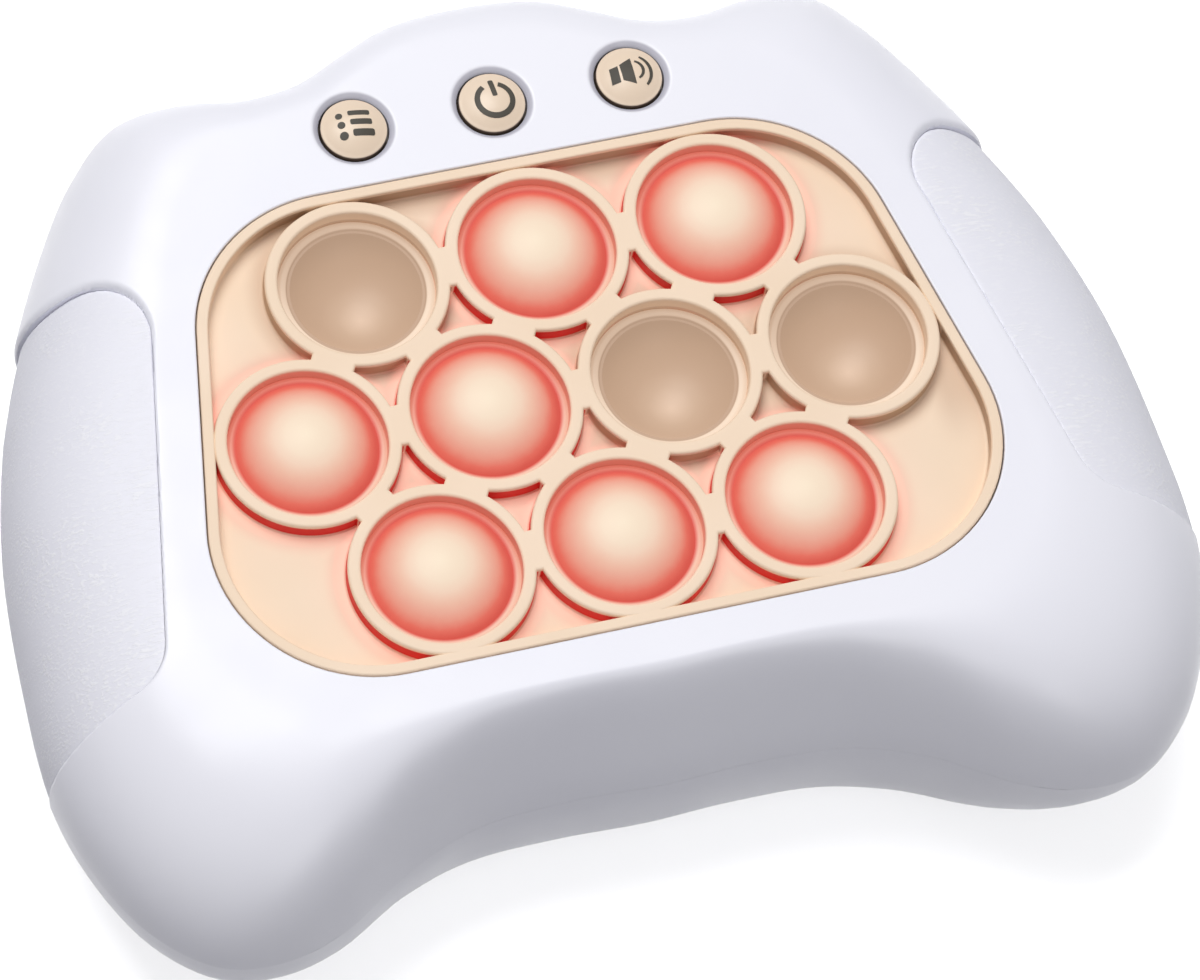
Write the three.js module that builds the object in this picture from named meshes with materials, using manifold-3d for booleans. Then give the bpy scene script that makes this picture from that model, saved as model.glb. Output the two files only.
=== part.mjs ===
// Bubble pop fidget toy: a game-pad shaped case that holds a soft sheet of pop bubbles,
// three round push buttons and two grip panels, with a lamp and a switch under each bubble,
// a loudspeaker, three cells and a battery door.
// Millimetres, +Z up. The origin is the centre of the case's footprint on the table.
// +X is the player's right and +Y runs from the player towards the row of buttons.

import * as THREE from "three";
import { mergeVertices } from "three/addons/utils/BufferGeometryUtils.js";
import Module from "manifold-3d";

const wasm = await Module();
wasm.setup();

// Gaps between neighbours, and how far a cut runs past what it cuts
const seatGap = 0.3;
const runningGap = 0.35;
const screwGap = 0.1;
const overrun = 5;

// Bubbles, the rings round them and the field that they make: neighbouring rings just overlap
const bubbleRadius = 9.9;
const bubbleHeight = 5.5;
const bubbleWall = 1.1;
const bubbleSides = 20;
const bubbleArcSteps = 3;
const bubbleTravel = 2 * bubbleHeight;
const bubbleHoleRadius = bubbleRadius + seatGap;
const ringLedge = 0.9;
const ringWall = 2;
const ringHeight = 2.7;
const ringOverlap = 0.2;
const ringSides = 20;
const ringInnerRadius = bubbleHoleRadius + ringLedge;
const ringOuterRadius = ringInnerRadius + ringWall;
const bubblePitch = 2 * ringOuterRadius - ringOverlap;
const bubbleGridShares = [
  { row: 1, places: [-1, 0, 1] },
  { row: 0, places: [-1.5, -0.5, 0.5, 1.5] },
  { row: -1, places: [-1, 0, 1] },
];
const furthestShare = Math.max(...bubbleGridShares.flatMap(({ places }) => places));
const pressedBubbles = ["01", "06", "07"];
const rowPitch = bubblePitch * Math.sin(Math.PI / 3);
const outerRowReach = bubblePitch + ringOuterRadius;
const outerRowY = rowPitch + ringOuterRadius;

// Window in the top cover round the bubble field, a trapezoid with round corners
const windowBackSideGap = 7.3;
const windowFrontSideGap = 22.2;
const windowBackGap = 1.7;
const windowFrontGap = 1.1;
const windowCornerRadius = 22;
const windowBackHalfWidth = outerRowReach + windowBackSideGap;
const windowFrontHalfWidth = outerRowReach + windowFrontSideGap;
const windowBackY = outerRowY + windowBackGap;
const windowFrontY = -outerRowY - windowFrontGap;

// Soft sheet
const sheetThickness = 1.2;
const rimWidth = 1.6;
const flangeReach = 2.4;

// Cells and their compartment
const cellRadius = 7.25;
const cellLength = 49.2;
const cellButtonRadius = 2.75;
const cellButtonLength = 1.3;
const cellSides = 16;
const cellCount = 3;
const cellGap = 0.5;
const cellRowY = 16;
const cellSpacing = 2 * cellRadius + cellGap;
const contactThickness = 0.5;
const contactTopGap = 0.9;
const contactHeight = 2 * cellRadius - contactTopGap;
const contactNubRadius = 2.6;
const contactNubTipRadius = 1.6;
const springNubLength = 3;
const flatNubLength = 1;
const bayWall = 3.6;
const bayRoof = 1.6;

// Battery door and its screw
const doorThickness = 2.4;
const doorSink = 0.4;
const doorLap = 2;
const doorTongueReach = 10;
const doorTongueHalfWidth = 8;
const doorScrewRadius = 1.25;
const doorScrewHeadRadius = 2.6;
const doorScrewHeadHeight = 1.2;
const doorScrewWellDepth = 1.5;
const doorScrewLength = 8;

// Circuit board, with the main chip under it
const boardThickness = 1.6;
const boardEdge = 0.4;
const boardButtonMargin = 5;
const boardEarMargin = 4;
const chipLength = 12;
const chipWidth = 9;
const chipHeight = 1.8;
const chipY = -20;
const chipClearance = 5.4;

// Levels from the table up: the cells, the board, which clears a bubble's edge at full travel,
// the sheet and its rings
const doorTop = doorSink + doorThickness;
const cellZ = doorTop + seatGap + cellRadius;
const bayCeiling = cellZ + cellRadius + cellGap;
const boardUnder = bayCeiling + bayRoof + chipClearance + chipHeight;
const boardTop = boardUnder + boardThickness;
const floorUnder = boardTop + bubbleTravel + 2 * seatGap;
const floorTop = floorUnder + sheetThickness;
const caseHeight = floorTop + ringHeight;

// Case
const caseSideMargin = 22.4;
const caseBackMargin = 29;
const caseHalfWidth = windowFrontHalfWidth + caseSideMargin;
const caseHalfDepth = windowBackY + caseBackMargin;
const partingHeight = 24;
const caseWall = 2.2;
const seamGap = 0.3;
const ceiling = caseHeight - caseWall;

// Right half of the case's plan, from the middle of the back edge to the middle of the front edge.
// Each row holds the widest outline's x and y and the flat crown's x and y, as shares of the half
// width and the half depth, then how far the edge's corner lies from the crown towards the widest
// outline, and how tightly the edge hugs that corner.
const casePlanShares = [
  [0, 1, 0, 0.875, 1, 1.3],
  [0.136, 0.985, 0.108, 0.86, 1, 1.3],
  [0.227, 0.94, 0.191, 0.822, 1, 1.2],
  [0.311, 0.896, 0.275, 0.776, 1, 1.1],
  [0.406, 0.882, 0.37, 0.755, 1, 1.1],
  [0.52, 0.912, 0.46, 0.734, 1, 1.1],
  [0.627, 0.905, 0.526, 0.682, 1, 1],
  [0.707, 0.817, 0.573, 0.605, 1, 0.85],
  [0.77, 0.701, 0.609, 0.51, 1, 0.8],
  [0.866, 0.471, 0.645, 0.351, 1, 0.8],
  [0.934, 0.235, 0.675, 0.163, 1, 0.8],
  [0.978, 0, 0.703, -0.033, 1, 0.8],
  [0.999, -0.302, 0.723, -0.222, 1, 0.75],
  [1, -0.498, 0.729, -0.342, 1, 0.75],
  [0.97, -0.686, 0.711, -0.448, 1, 0.75],
  [0.896, -0.875, 0.663, -0.538, 0.95, 0.75],
  [0.8, -0.98, 0.597, -0.603, 0.9, 0.75],
  [0.699, -1, 0.538, -0.633, 0.85, 0.8],
  [0.59, -0.965, 0.472, -0.644, 0.7, 0.85],
  [0.454, -0.863, 0.382, -0.645, 0.5, 1],
  [0.323, -0.804, 0.281, -0.637, 0.35, 1.2],
  [0.155, -0.792, 0.143, -0.636, 0.25, 1.3],
  [0, -0.799, 0, -0.64, 0.25, 1.3],
];
const baseInsetShare = 0.6;
const baseCornerWeight = 0.65;
const fineSkin = { crownSteps: 4, baseSteps: 4, stepsPerPlanRow: 2 };
const coarseSkin = { crownSteps: 3, baseSteps: 3, stepsPerPlanRow: 1 };

// Switch and lamp under each bubble
const tactBodyWidth = 6;
const tactBodyHeight = 3.5;
const plungerRadius = 1.7;
const smallRoundSides = 8;
const bubblePlungerTop = floorUnder - bubbleHeight - seatGap;
const lampLength = 3.5;
const lampWidth = 2.8;
const lampHeight = 1.9;
const lampGap = 0.6;
const boardHalfWidth = furthestShare * bubblePitch + tactBodyWidth / 2 + lampGap + lampLength
  + boardEdge;

// Retaining frame that clamps the sheet to the top cover
const frameThickness = 2;
const frameReach = 2.6;
const frameHoleGap = 0.8;
const frameHoleRadius = bubbleHoleRadius + frameHoleGap;
const frameHoleSides = 16;
const frameTop = floorUnder - seatGap;
const frameUnder = frameTop - frameThickness;

// Push buttons
const buttonX = 20.2;
const buttonBehindWindow = 9.1;
const buttonY = windowBackY + buttonBehindWindow;
const buttonRadius = 4.75;
const buttonRimSink = 0.15;
const buttonCrown = 1.25;
const buttonTravel = 1;
const buttonFlangeReach = 0.9;
const buttonFlangeRadius = buttonRadius + buttonFlangeReach;
const buttonFlangeHeight = 1.2;
const buttonStemRadius = 1.8;
const buttonSinkFlare = 0.7;
const buttonSinkRadius = buttonRadius + runningGap + buttonSinkFlare;
const buttonSinkDepth = 0.8;
const buttonSides = 20;
const buttonSwitchPlunger = 0.8;

// Board screws: up through the board and the frame's posts into the top cover
const boardScrewPastButton = 12.8;
const boardScrewBehindWindow = 6.2;
const boardScrewPastRow = 9.4;
const boardScrewBeforeWindow = 2.1;
const boardScrewBackX = buttonX + boardScrewPastButton;
const boardScrewBackY = windowBackY + boardScrewBehindWindow;
const boardScrewFrontX = outerRowReach + boardScrewPastRow;
const boardScrewFrontY = windowFrontY - boardScrewBeforeWindow;
const boardScrewRadius = 1.25;
const boardScrewHeadRadius = 2.5;
const boardScrewHeadHeight = 1.8;
const boardScrewSkin = 1.2;
const postWall = 1.45;
const lugMargin = 1.4;
const postRadius = boardScrewRadius + seatGap + postWall;
const lugRadius = postRadius + lugMargin;

// Case screws: up through the bottom cover's posts into the top cover's bosses
const caseScrewBackInset = { x: 25.7, y: 39.3 };
const caseScrewFrontInset = { x: 25.2, y: 21.8 };
const caseScrewBackX = caseHalfWidth - caseScrewBackInset.x;
const caseScrewBackY = caseHalfDepth - caseScrewBackInset.y;
const caseScrewFrontX = caseHalfWidth - caseScrewFrontInset.x;
const caseScrewFrontY = caseScrewFrontInset.y - caseHalfDepth;
const caseScrewRadius = 1.3;
const caseScrewHeadRadius = 2.75;
const caseScrewHeadHeight = 2;
const caseScrewBite = 9;
const caseScrewSeat = 16;
const caseBossWall = 2.2;
const casePostWall = 1.2;
const headWellGap = 0.45;
const caseBossRadius = caseScrewRadius + screwGap + caseBossWall;
const headWellRadius = caseScrewHeadRadius + headWellGap;
const casePostRadius = headWellRadius + casePostWall;
const screwSides = 12;
const crossWidth = 0.8;
const crossShare = 0.7;
const crossDepth = 0.9;

// Grip panels, cut from the case's skin by an outline with round corners
const gripSink = 0.4;
const gripThickness = 1.4;
const gripBackInset = { x: 30.15, y: 34.8 };
const gripBackRadius = 9;
const gripFrontInset = { x: 17.45, y: 37.3 };
const gripFrontRadius = 8;
const gripOutInset = 25.3;
const gripFoot = 9;
const gripBackX = caseHalfWidth - gripBackInset.x;
const gripBackY = caseHalfDepth - gripBackInset.y;
const gripFrontX = caseHalfWidth - gripFrontInset.x;
const gripFrontY = gripFrontInset.y - caseHalfDepth;
const gripOutY = gripOutInset - caseHalfDepth;
const gripPegRadius = 1.5;
const gripPegInset = { x: 8.6, y: 17.5 };
const gripPegFrontInset = { x: 3.1, y: 9 };
const gripPegBack = { x: gripBackX + gripPegInset.x, y: gripBackY - gripPegInset.y };
const gripPegFront = { x: gripFrontX + gripPegFrontInset.x, y: gripFrontY + gripPegFrontInset.y };
const gripPegLength = 3.4;
const cornerSteps = 6;

// Loudspeaker
const speakerGap = 2.15;
const speakerY = -2;
const speakerRadius = 12;
const speakerRimHeight = 2;
const speakerConeHeight = 3;
const magnetRadius = 6.5;
const magnetHeight = 3.5;
const speakerCollarWall = 1.2;
const speakerCollarHeight = 3.4;
const speakerHoleRadius = 1.3;
const speakerHoleRing = 6;
const speakerHoleCount = 8;
const speakerSides = 20;

const whitePlastic = { color: 0xf2f2fb, roughness: 0.32, metalness: 0 };
const gripPlastic = { color: 0xe9e9f4, roughness: 0.62, metalness: 0 };
const peachRubber = { color: 0xf5d9bb, roughness: 0.55, metalness: 0 };
const peachPlastic = { color: 0xefd8bd, roughness: 0.4, metalness: 0 };
const framePlastic = { color: 0xdcdce2, roughness: 0.6, metalness: 0 };
const boardGreen = { color: 0x1f6b3d, roughness: 0.5, metalness: 0 };
const darkPlastic = { color: 0x1c1c20, roughness: 0.5, metalness: 0 };
const lampRed = { color: 0xf05a50, roughness: 0.25, metalness: 0 };
const steel = { color: 0xb8b8bc, roughness: 0.35, metalness: 1 };
const cellJacket = { color: 0x3c4658, roughness: 0.4, metalness: 0.2 };

const group = new THREE.Group();

// Solids and meshes

function outward(geometry) {
  const place = geometry.attributes.position;
  const order = geometry.index.array;
  const a = new THREE.Vector3();
  const b = new THREE.Vector3();
  const c = new THREE.Vector3();
  let volume = 0;
  for (let i = 0; i < order.length; i += 3) {
    a.fromBufferAttribute(place, order[i]);
    b.fromBufferAttribute(place, order[i + 1]);
    c.fromBufferAttribute(place, order[i + 2]);
    volume += a.dot(b.cross(c));
  }
  if (volume < 0) {
    for (let i = 0; i < order.length; i += 3) {
      [order[i], order[i + 1]] = [order[i + 1], order[i]];
    }
  }
  return geometry;
}

function solid(geometry) {
  const bare = geometry.clone();
  bare.deleteAttribute("normal");
  bare.deleteAttribute("uv");
  const merged = outward(mergeVertices(bare));
  return new wasm.Manifold(new wasm.Mesh({
    numProp: 3,
    vertProperties: new Float32Array(merged.attributes.position.array),
    triVerts: new Uint32Array(merged.index.array),
  }));
}

function addPiece(name, shape, finish) {
  const { vertProperties, triVerts } = shape.getMesh();
  const geometry = new THREE.BufferGeometry();
  geometry.setAttribute("position", new THREE.BufferAttribute(vertProperties, 3));
  geometry.setIndex(new THREE.BufferAttribute(triVerts, 1));
  geometry.computeVertexNormals();
  const mesh = new THREE.Mesh(geometry, new THREE.MeshStandardMaterial(finish));
  mesh.name = name;
  group.add(mesh);
}

// Simple shapes

function box(x0, x1, y0, y1, z0, z1) {
  const block = new THREE.BoxGeometry(x1 - x0, y1 - y0, z1 - z0);
  return solid(block.translate((x0 + x1) / 2, (y0 + y1) / 2, (z0 + z1) / 2));
}

function tapered(lowRadius, highRadius, z0, z1, x, y, sides) {
  const round = new THREE.CylinderGeometry(highRadius, lowRadius, z1 - z0, sides);
  return solid(round.rotateX(Math.PI / 2).translate(x, y, (z0 + z1) / 2));
}

function rod(radius, z0, z1, x, y, sides) {
  return tapered(radius, radius, z0, z1, x, y, sides);
}

function turned(profile, sides) {
  const points = profile.map(([radius, height]) => new THREE.Vector2(radius, height));
  return solid(new THREE.LatheGeometry(points, sides).rotateX(Math.PI / 2));
}

function plate(points, z0, z1) {
  const outline = new THREE.Shape(points);
  const slab = new THREE.ExtrudeGeometry(outline, { depth: z1 - z0, bevelEnabled: false });
  return solid(slab.translate(0, 0, z0));
}

function mirrored(halfPoints) {
  const otherHalf = halfPoints.filter((point) => point.x > 0).reverse();
  return [...halfPoints, ...otherHalf.map((point) => new THREE.Vector2(-point.x, point.y))];
}

// Case body

function planCurve(rows, xColumn, yColumn) {
  const half = rows.map((row) => ({ x: row[xColumn], y: row[yColumn] }));
  const left = half.slice(1, -1).reverse();
  const points = [
    ...half.map(({ x, y }) => new THREE.Vector3(x * caseHalfWidth, y * caseHalfDepth, 0)),
    ...left.map(({ x, y }) => new THREE.Vector3(-x * caseHalfWidth, y * caseHalfDepth, 0)),
  ];
  return new THREE.CatmullRomCurve3(points, true, "centripetal");
}

function cornerCurve(rows) {
  const half = rows.map((row) => new THREE.Vector3(row[4], row[5], 0));
  const left = half.slice(1, -1).reverse();
  return new THREE.CatmullRomCurve3([...half, ...left], true, "catmullrom");
}

function planSamples(stepsPerPlanRow) {
  const widest = planCurve(casePlanShares, 0, 1);
  const crown = planCurve(casePlanShares, 2, 3);
  const corner = cornerCurve(casePlanShares);
  const count = widest.points.length * stepsPerPlanRow;
  const samples = [];
  for (let i = 0; i < count; i += 1) {
    const share = i / count;
    const along = widest.getTangent(share);
    samples.push({
      widest: widest.getPoint(share),
      crown: crown.getPoint(share),
      inward: new THREE.Vector3(along.y, -along.x, 0),
      corner: corner.getPoint(share),
    });
  }
  return samples;
}

const fineSamples = planSamples(fineSkin.stepsPerPlanRow);
const coarseSamples = planSamples(coarseSkin.stepsPerPlanRow);

// One step along an edge that leaves flat and ends upright: a rational quadratic curve.
function edgeStep(step, corner, weight) {
  const near = (1 - step) * (1 - step);
  const middle = 2 * step * (1 - step) * weight;
  const far = step * step;
  const sum = near + middle + far;
  return { out: (middle * corner + far) / sum, drop: far / sum };
}

function caseRing(samples, depth, flatZ, step, fromCrown) {
  return samples.map(({ widest, crown, inward, corner }) => {
    const edge = widest.clone().addScaledVector(inward, depth);
    const flat = fromCrown ? crown : widest.clone().lerp(crown, baseInsetShare);
    const cornerShare = fromCrown ? corner.x : 1;
    const weight = fromCrown ? corner.y : baseCornerWeight;
    const { out, drop } = edgeStep(step, cornerShare, weight);
    const point = flat.clone().lerp(edge, out);
    point.z = flatZ + (partingHeight - flatZ) * drop;
    return point;
  });
}

// The whole case as one solid, with its skin moved in by depth.
function caseBody(depth, fine = true) {
  const samples = fine ? fineSamples : coarseSamples;
  const { crownSteps, baseSteps } = fine ? fineSkin : coarseSkin;
  const rings = [];
  for (let i = 0; i <= baseSteps; i += 1) {
    rings.push(caseRing(samples, depth, depth, i / baseSteps, false));
  }
  for (let i = crownSteps - 1; i >= 0; i -= 1) {
    rings.push(caseRing(samples, depth, caseHeight - depth, i / crownSteps, true));
  }
  const count = rings[0].length;
  const order = [];
  for (let r = 0; r < rings.length - 1; r += 1) {
    for (let i = 0; i < count; i += 1) {
      const next = (i + 1) % count;
      const low = r * count;
      const high = low + count;
      order.push(low + i, high + next, low + next, low + i, high + i, high + next);
    }
  }
  const last = (rings.length - 1) * count;
  for (const [a, b, c] of THREE.ShapeUtils.triangulateShape(rings[0], [])) {
    order.push(a, c, b);
  }
  for (const [a, b, c] of THREE.ShapeUtils.triangulateShape(rings.at(-1), [])) {
    order.push(last + a, last + b, last + c);
  }
  const geometry = new THREE.BufferGeometry().setFromPoints(rings.flat());
  geometry.setIndex(order);
  return solid(geometry);
}

// An outline through corners listed clockwise, each rounded by an arc of its own radius.
function roundedOutline(corners) {
  const points = [];
  for (let i = 0; i < corners.length; i += 1) {
    const { x, y, radius } = corners[i];
    const here = new THREE.Vector2(x, y);
    const before = corners.at(i - 1);
    const after = corners[(i + 1) % corners.length];
    const back = new THREE.Vector2(before.x, before.y).sub(here).normalize();
    const ahead = new THREE.Vector2(after.x, after.y).sub(here).normalize();
    if (radius === 0) {
      points.push(here);
      continue;
    }
    const half = Math.acos(back.dot(ahead)) / 2;
    const middle = back.clone().add(ahead).normalize().multiplyScalar(radius / Math.sin(half));
    const centre = here.clone().add(middle);
    const start = here.clone().addScaledVector(back, radius / Math.tan(half)).sub(centre);
    const sweep = Math.PI - 2 * half;
    for (let k = 0; k <= cornerSteps; k += 1) {
      const turn = -sweep * k / cornerSteps;
      points.push(start.clone().rotateAround(new THREE.Vector2(), turn).add(centre));
    }
  }
  return points;
}

// Window outline, moved out by reach
function windowOutline(reach) {
  const lean = Math.atan2(windowFrontHalfWidth - windowBackHalfWidth, windowBackY - windowFrontY);
  const backOut = reach * Math.tan(Math.PI / 4 - lean / 2);
  const frontOut = reach / Math.tan(Math.PI / 4 - lean / 2);
  const backX = windowBackHalfWidth + backOut;
  const frontX = windowFrontHalfWidth + frontOut;
  const radius = windowCornerRadius + reach;
  return roundedOutline([
    { x: -backX, y: windowBackY + reach, radius },
    { x: backX, y: windowBackY + reach, radius },
    { x: frontX, y: windowFrontY - reach, radius },
    { x: -frontX, y: windowFrontY - reach, radius },
  ]);
}

// Places

function bubblePlaces() {
  const places = [];
  for (const { row, places: columns } of bubbleGridShares) {
    for (const column of columns) {
      const number = String(places.length + 1).padStart(2, "0");
      places.push({ number, x: column * bubblePitch, y: row * rowPitch });
    }
  }
  return places;
}

const bubbles = bubblePlaces();
const sides = [-1, 1];

const boardScrews = [
  { x: -boardScrewBackX, y: boardScrewBackY },
  { x: boardScrewBackX, y: boardScrewBackY },
  { x: -boardScrewFrontX, y: boardScrewFrontY },
  { x: boardScrewFrontX, y: boardScrewFrontY },
];

const caseScrews = [
  { x: -caseScrewBackX, y: caseScrewBackY },
  { x: caseScrewBackX, y: caseScrewBackY },
  { x: -caseScrewFrontX, y: caseScrewFrontY },
  { x: caseScrewFrontX, y: caseScrewFrontY },
];

const buttons = [
  { name: "mode_button", x: -buttonX },
  { name: "power_button", x: 0 },
  { name: "volume_button", x: buttonX },
];

// Levels and spans that several pieces share
const farX = caseHalfWidth + overrun;
const farY = caseHalfDepth + overrun;
const gripDepth = gripSink + gripThickness + seatGap;
const bayHalfWidth = cellSpacing * (cellCount - 1) / 2 + cellRadius + cellGap;
const bayHalfLength = (cellLength + cellButtonLength + springNubLength + flatNubLength) / 2
  + contactThickness + 2 * seatGap;
const bayFront = cellRowY - bayHalfLength;
const bayBack = cellRowY + bayHalfLength;
const doorHalfWidth = bayHalfWidth + doorLap;
const doorBack = bayBack + doorLap;
const doorTongueFront = bayFront - doorTongueReach;
const doorScrewY = bayFront - doorTongueReach / 2;
const doorScrewTop = doorTop + seatGap + doorScrewLength;
const speakerFront = caseWall + seatGap;
const collarRadius = speakerRadius + seatGap;
const speakerX = bayHalfWidth + bayWall + speakerGap + speakerCollarWall + collarRadius;

// Grip panels

// The upright block, seen from above as the panel's outline, that each panel is cut from.
function gripZone(side, shrink) {
  const corners = [
    { x: farX, y: gripBackY - shrink, radius: 0 },
    { x: farX, y: gripOutY + shrink, radius: 0 },
    { x: gripFrontX + shrink, y: gripFrontY + shrink, radius: gripFrontRadius - shrink },
    { x: gripBackX + shrink, y: gripBackY - shrink, radius: gripBackRadius - shrink },
  ];
  const outline = roundedOutline(corners).map((point) => new THREE.Vector2(side * point.x, point.y));
  return plate(outline, gripFoot + shrink, caseHeight + overrun);
}

function gripPegs(side, radius) {
  const pegs = [gripPegBack, gripPegFront].map(({ x, y }) => {
    return rod(radius, partingHeight, caseHeight + overrun, side * x, y, smallRoundSides);
  });
  const reach = caseBody(gripSink + gripThickness / 2).subtract(caseBody(gripDepth + gripPegLength));
  return pegs[0].add(pegs[1]).intersect(reach);
}

function gripRecess(side) {
  return gripZone(side, 0).subtract(caseBody(gripDepth));
}

function gripPanel(side) {
  const skin = caseBody(gripSink).subtract(caseBody(gripSink + gripThickness));
  return skin.intersect(gripZone(side, seatGap)).add(gripPegs(side, gripPegRadius));
}

// Case

// The hollow inside both covers, which stays a wall's depth behind the grip panels.
function caseHollow() {
  const deepBody = caseBody(gripDepth + caseWall, false);
  let hollow = caseBody(caseWall, false);
  for (const side of sides) {
    hollow = hollow.subtract(gripZone(side, -caseWall).subtract(deepBody));
  }
  return hollow;
}

function topCover() {
  const level = partingHeight + seamGap / 2;
  const above = box(-farX, farX, -farY, farY, level, caseHeight + overrun);
  const bossLimit = caseBody(caseWall / 2).intersect(above);
  let cover = caseBody(0).intersect(above).subtract(caseHollow());
  for (const { x, y } of caseScrews) {
    cover = cover.add(rod(caseBossRadius, level, caseHeight, x, y, screwSides).intersect(bossLimit));
  }
  for (const { x, y } of boardScrews) {
    const bossFoot = frameTop + seatGap;
    cover = cover.add(rod(postRadius, bossFoot, caseHeight, x, y, screwSides).intersect(bossLimit));
  }
  for (const side of sides) {
    cover = cover.subtract(gripRecess(side)).subtract(gripPegs(side, gripPegRadius + seatGap));
  }
  cover = cover.subtract(plate(windowOutline(0), ceiling - overrun, caseHeight + overrun));
  for (const { x } of buttons) {
    cover = cover.subtract(rod(buttonRadius + runningGap, ceiling - overrun, caseHeight + overrun,
      x, buttonY, buttonSides));
    cover = cover.subtract(tapered(buttonRadius + runningGap, buttonSinkRadius,
      caseHeight - buttonSinkDepth, caseHeight, x, buttonY, buttonSides));
  }
  for (const { x, y } of caseScrews) {
    cover = cover.subtract(rod(caseScrewRadius + screwGap, level - overrun,
      partingHeight + caseScrewBite + seatGap, x, y, screwSides));
  }
  for (const { x, y } of boardScrews) {
    cover = cover.subtract(rod(boardScrewRadius + screwGap, ceiling - overrun,
      caseHeight - boardScrewSkin, x, y, screwSides));
  }
  return cover;
}

function batteryBay() {
  const outX = bayHalfWidth + bayWall;
  const bay = box(-outX, outX, bayFront - bayWall, bayBack + bayWall, 0, bayCeiling + bayRoof);
  const tongueX = doorTongueHalfWidth + bayWall;
  const tongueTop = doorScrewTop + bayRoof;
  return bay.add(box(-tongueX, tongueX, doorTongueFront - bayWall, bayFront, 0, tongueTop));
}

function doorPlan(grow, z0, z1) {
  const panel = box(-doorHalfWidth - grow, doorHalfWidth + grow,
    bayFront - doorLap - grow, doorBack + grow, z0, z1);
  const tongue = box(-doorTongueHalfWidth - grow, doorTongueHalfWidth + grow,
    doorTongueFront - grow, bayFront, z0, z1);
  return panel.add(tongue);
}

function speakerHoles() {
  let holes = rod(speakerHoleRadius, -overrun, speakerFront + overrun, speakerX, speakerY, smallRoundSides);
  for (let i = 0; i < speakerHoleCount; i += 1) {
    const turn = 2 * Math.PI * i / speakerHoleCount;
    const x = speakerX + speakerHoleRing * Math.cos(turn);
    const y = speakerY + speakerHoleRing * Math.sin(turn);
    holes = holes.add(rod(speakerHoleRadius, -overrun, speakerFront + overrun, x, y, smallRoundSides));
  }
  return holes;
}

function bottomCover() {
  const level = partingHeight - seamGap / 2;
  const below = box(-farX, farX, -farY, farY, -overrun, level);
  const postLimit = caseBody(caseWall / 2).intersect(below);
  let cover = caseBody(0).intersect(below).subtract(caseHollow());
  for (const { x, y } of caseScrews) {
    cover = cover.add(rod(casePostRadius, 0, level, x, y, screwSides).intersect(postLimit));
  }
  const collarTop = caseWall + speakerCollarHeight;
  cover = cover.add(rod(collarRadius + speakerCollarWall, caseWall / 2, collarTop,
    speakerX, speakerY, speakerSides));
  cover = cover.subtract(rod(collarRadius, caseWall, collarTop + overrun,
    speakerX, speakerY, speakerSides));
  cover = cover.subtract(speakerHoles());
  cover = cover.add(batteryBay());
  cover = cover.subtract(box(-bayHalfWidth, bayHalfWidth, bayFront, bayBack, -overrun, bayCeiling));
  cover = cover.subtract(doorPlan(seatGap, -overrun, doorTop + seatGap));
  cover = cover.subtract(rod(doorScrewRadius + screwGap, 0, doorScrewTop, 0, doorScrewY, screwSides));
  for (const { x, y } of caseScrews) {
    cover = cover.subtract(rod(headWellRadius, -overrun, caseScrewSeat, x, y, screwSides));
    cover = cover.subtract(rod(caseScrewRadius + seatGap, 0, level + overrun, x, y, screwSides));
  }
  for (const side of sides) {
    cover = cover.subtract(gripRecess(side));
  }
  return cover;
}

// Sheet and bubbles

function bubbleSheet() {
  const flangeTop = ceiling - seatGap;
  const rimOutline = windowOutline(-seatGap);
  const floorOutline = windowOutline(-seatGap - rimWidth);
  let sheet = plate(windowOutline(flangeReach), floorUnder, flangeTop);
  sheet = sheet.add(plate(rimOutline, floorUnder, caseHeight));
  sheet = sheet.subtract(plate(floorOutline, floorTop, caseHeight + overrun));
  for (const { x, y } of bubbles) {
    const ring = rod(ringOuterRadius, floorTop, caseHeight, x, y, ringSides);
    sheet = sheet.add(ring.intersect(plate(rimOutline, floorUnder, caseHeight)));
  }
  for (const { x, y } of bubbles) {
    sheet = sheet.subtract(rod(ringInnerRadius, floorTop, caseHeight + overrun, x, y, ringSides));
    sheet = sheet.subtract(rod(bubbleHoleRadius, floorUnder - overrun, caseHeight, x, y, ringSides));
  }
  return sheet;
}

// A round cap of a sphere, from its rim to its crown on the axis.
function capArc(radius, height, rimZ) {
  const sphere = (radius * radius + height * height) / (2 * height);
  const opening = Math.asin(radius / sphere);
  const arc = [];
  for (let i = 0; i < bubbleArcSteps; i += 1) {
    const turn = opening * (1 - i / bubbleArcSteps);
    arc.push([sphere * Math.sin(turn), rimZ + height - sphere * (1 - Math.cos(turn))]);
  }
  arc.push([0, rimZ + height]);
  return arc;
}

function bubble(pressed) {
  const inner = capArc(bubbleRadius - bubbleWall, bubbleHeight + sheetThickness - bubbleWall, floorUnder);
  const outer = capArc(bubbleRadius, bubbleHeight, floorTop);
  const profile = [...inner.reverse(), [bubbleRadius, floorUnder], ...outer];
  const sheetMiddle = (floorTop + floorUnder) / 2;
  const turnedOver = profile.map(([radius, z]) => [radius, 2 * sheetMiddle - z]);
  return turned(pressed ? turnedOver : profile, bubbleSides);
}

// Buttons

function button() {
  const flangeTop = ceiling - seatGap;
  const flangeUnder = flangeTop - buttonFlangeHeight;
  const stemFoot = boardTop + tactBodyHeight + buttonSwitchPlunger + buttonTravel + seatGap;
  return turned([
    [0, stemFoot],
    [buttonStemRadius, stemFoot],
    [buttonStemRadius, flangeUnder],
    [buttonFlangeRadius, flangeUnder],
    [buttonFlangeRadius, flangeTop],
    [buttonRadius, flangeTop],
    ...capArc(buttonRadius, buttonCrown, caseHeight - buttonRimSink),
  ], buttonSides);
}

// Inner pieces

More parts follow.
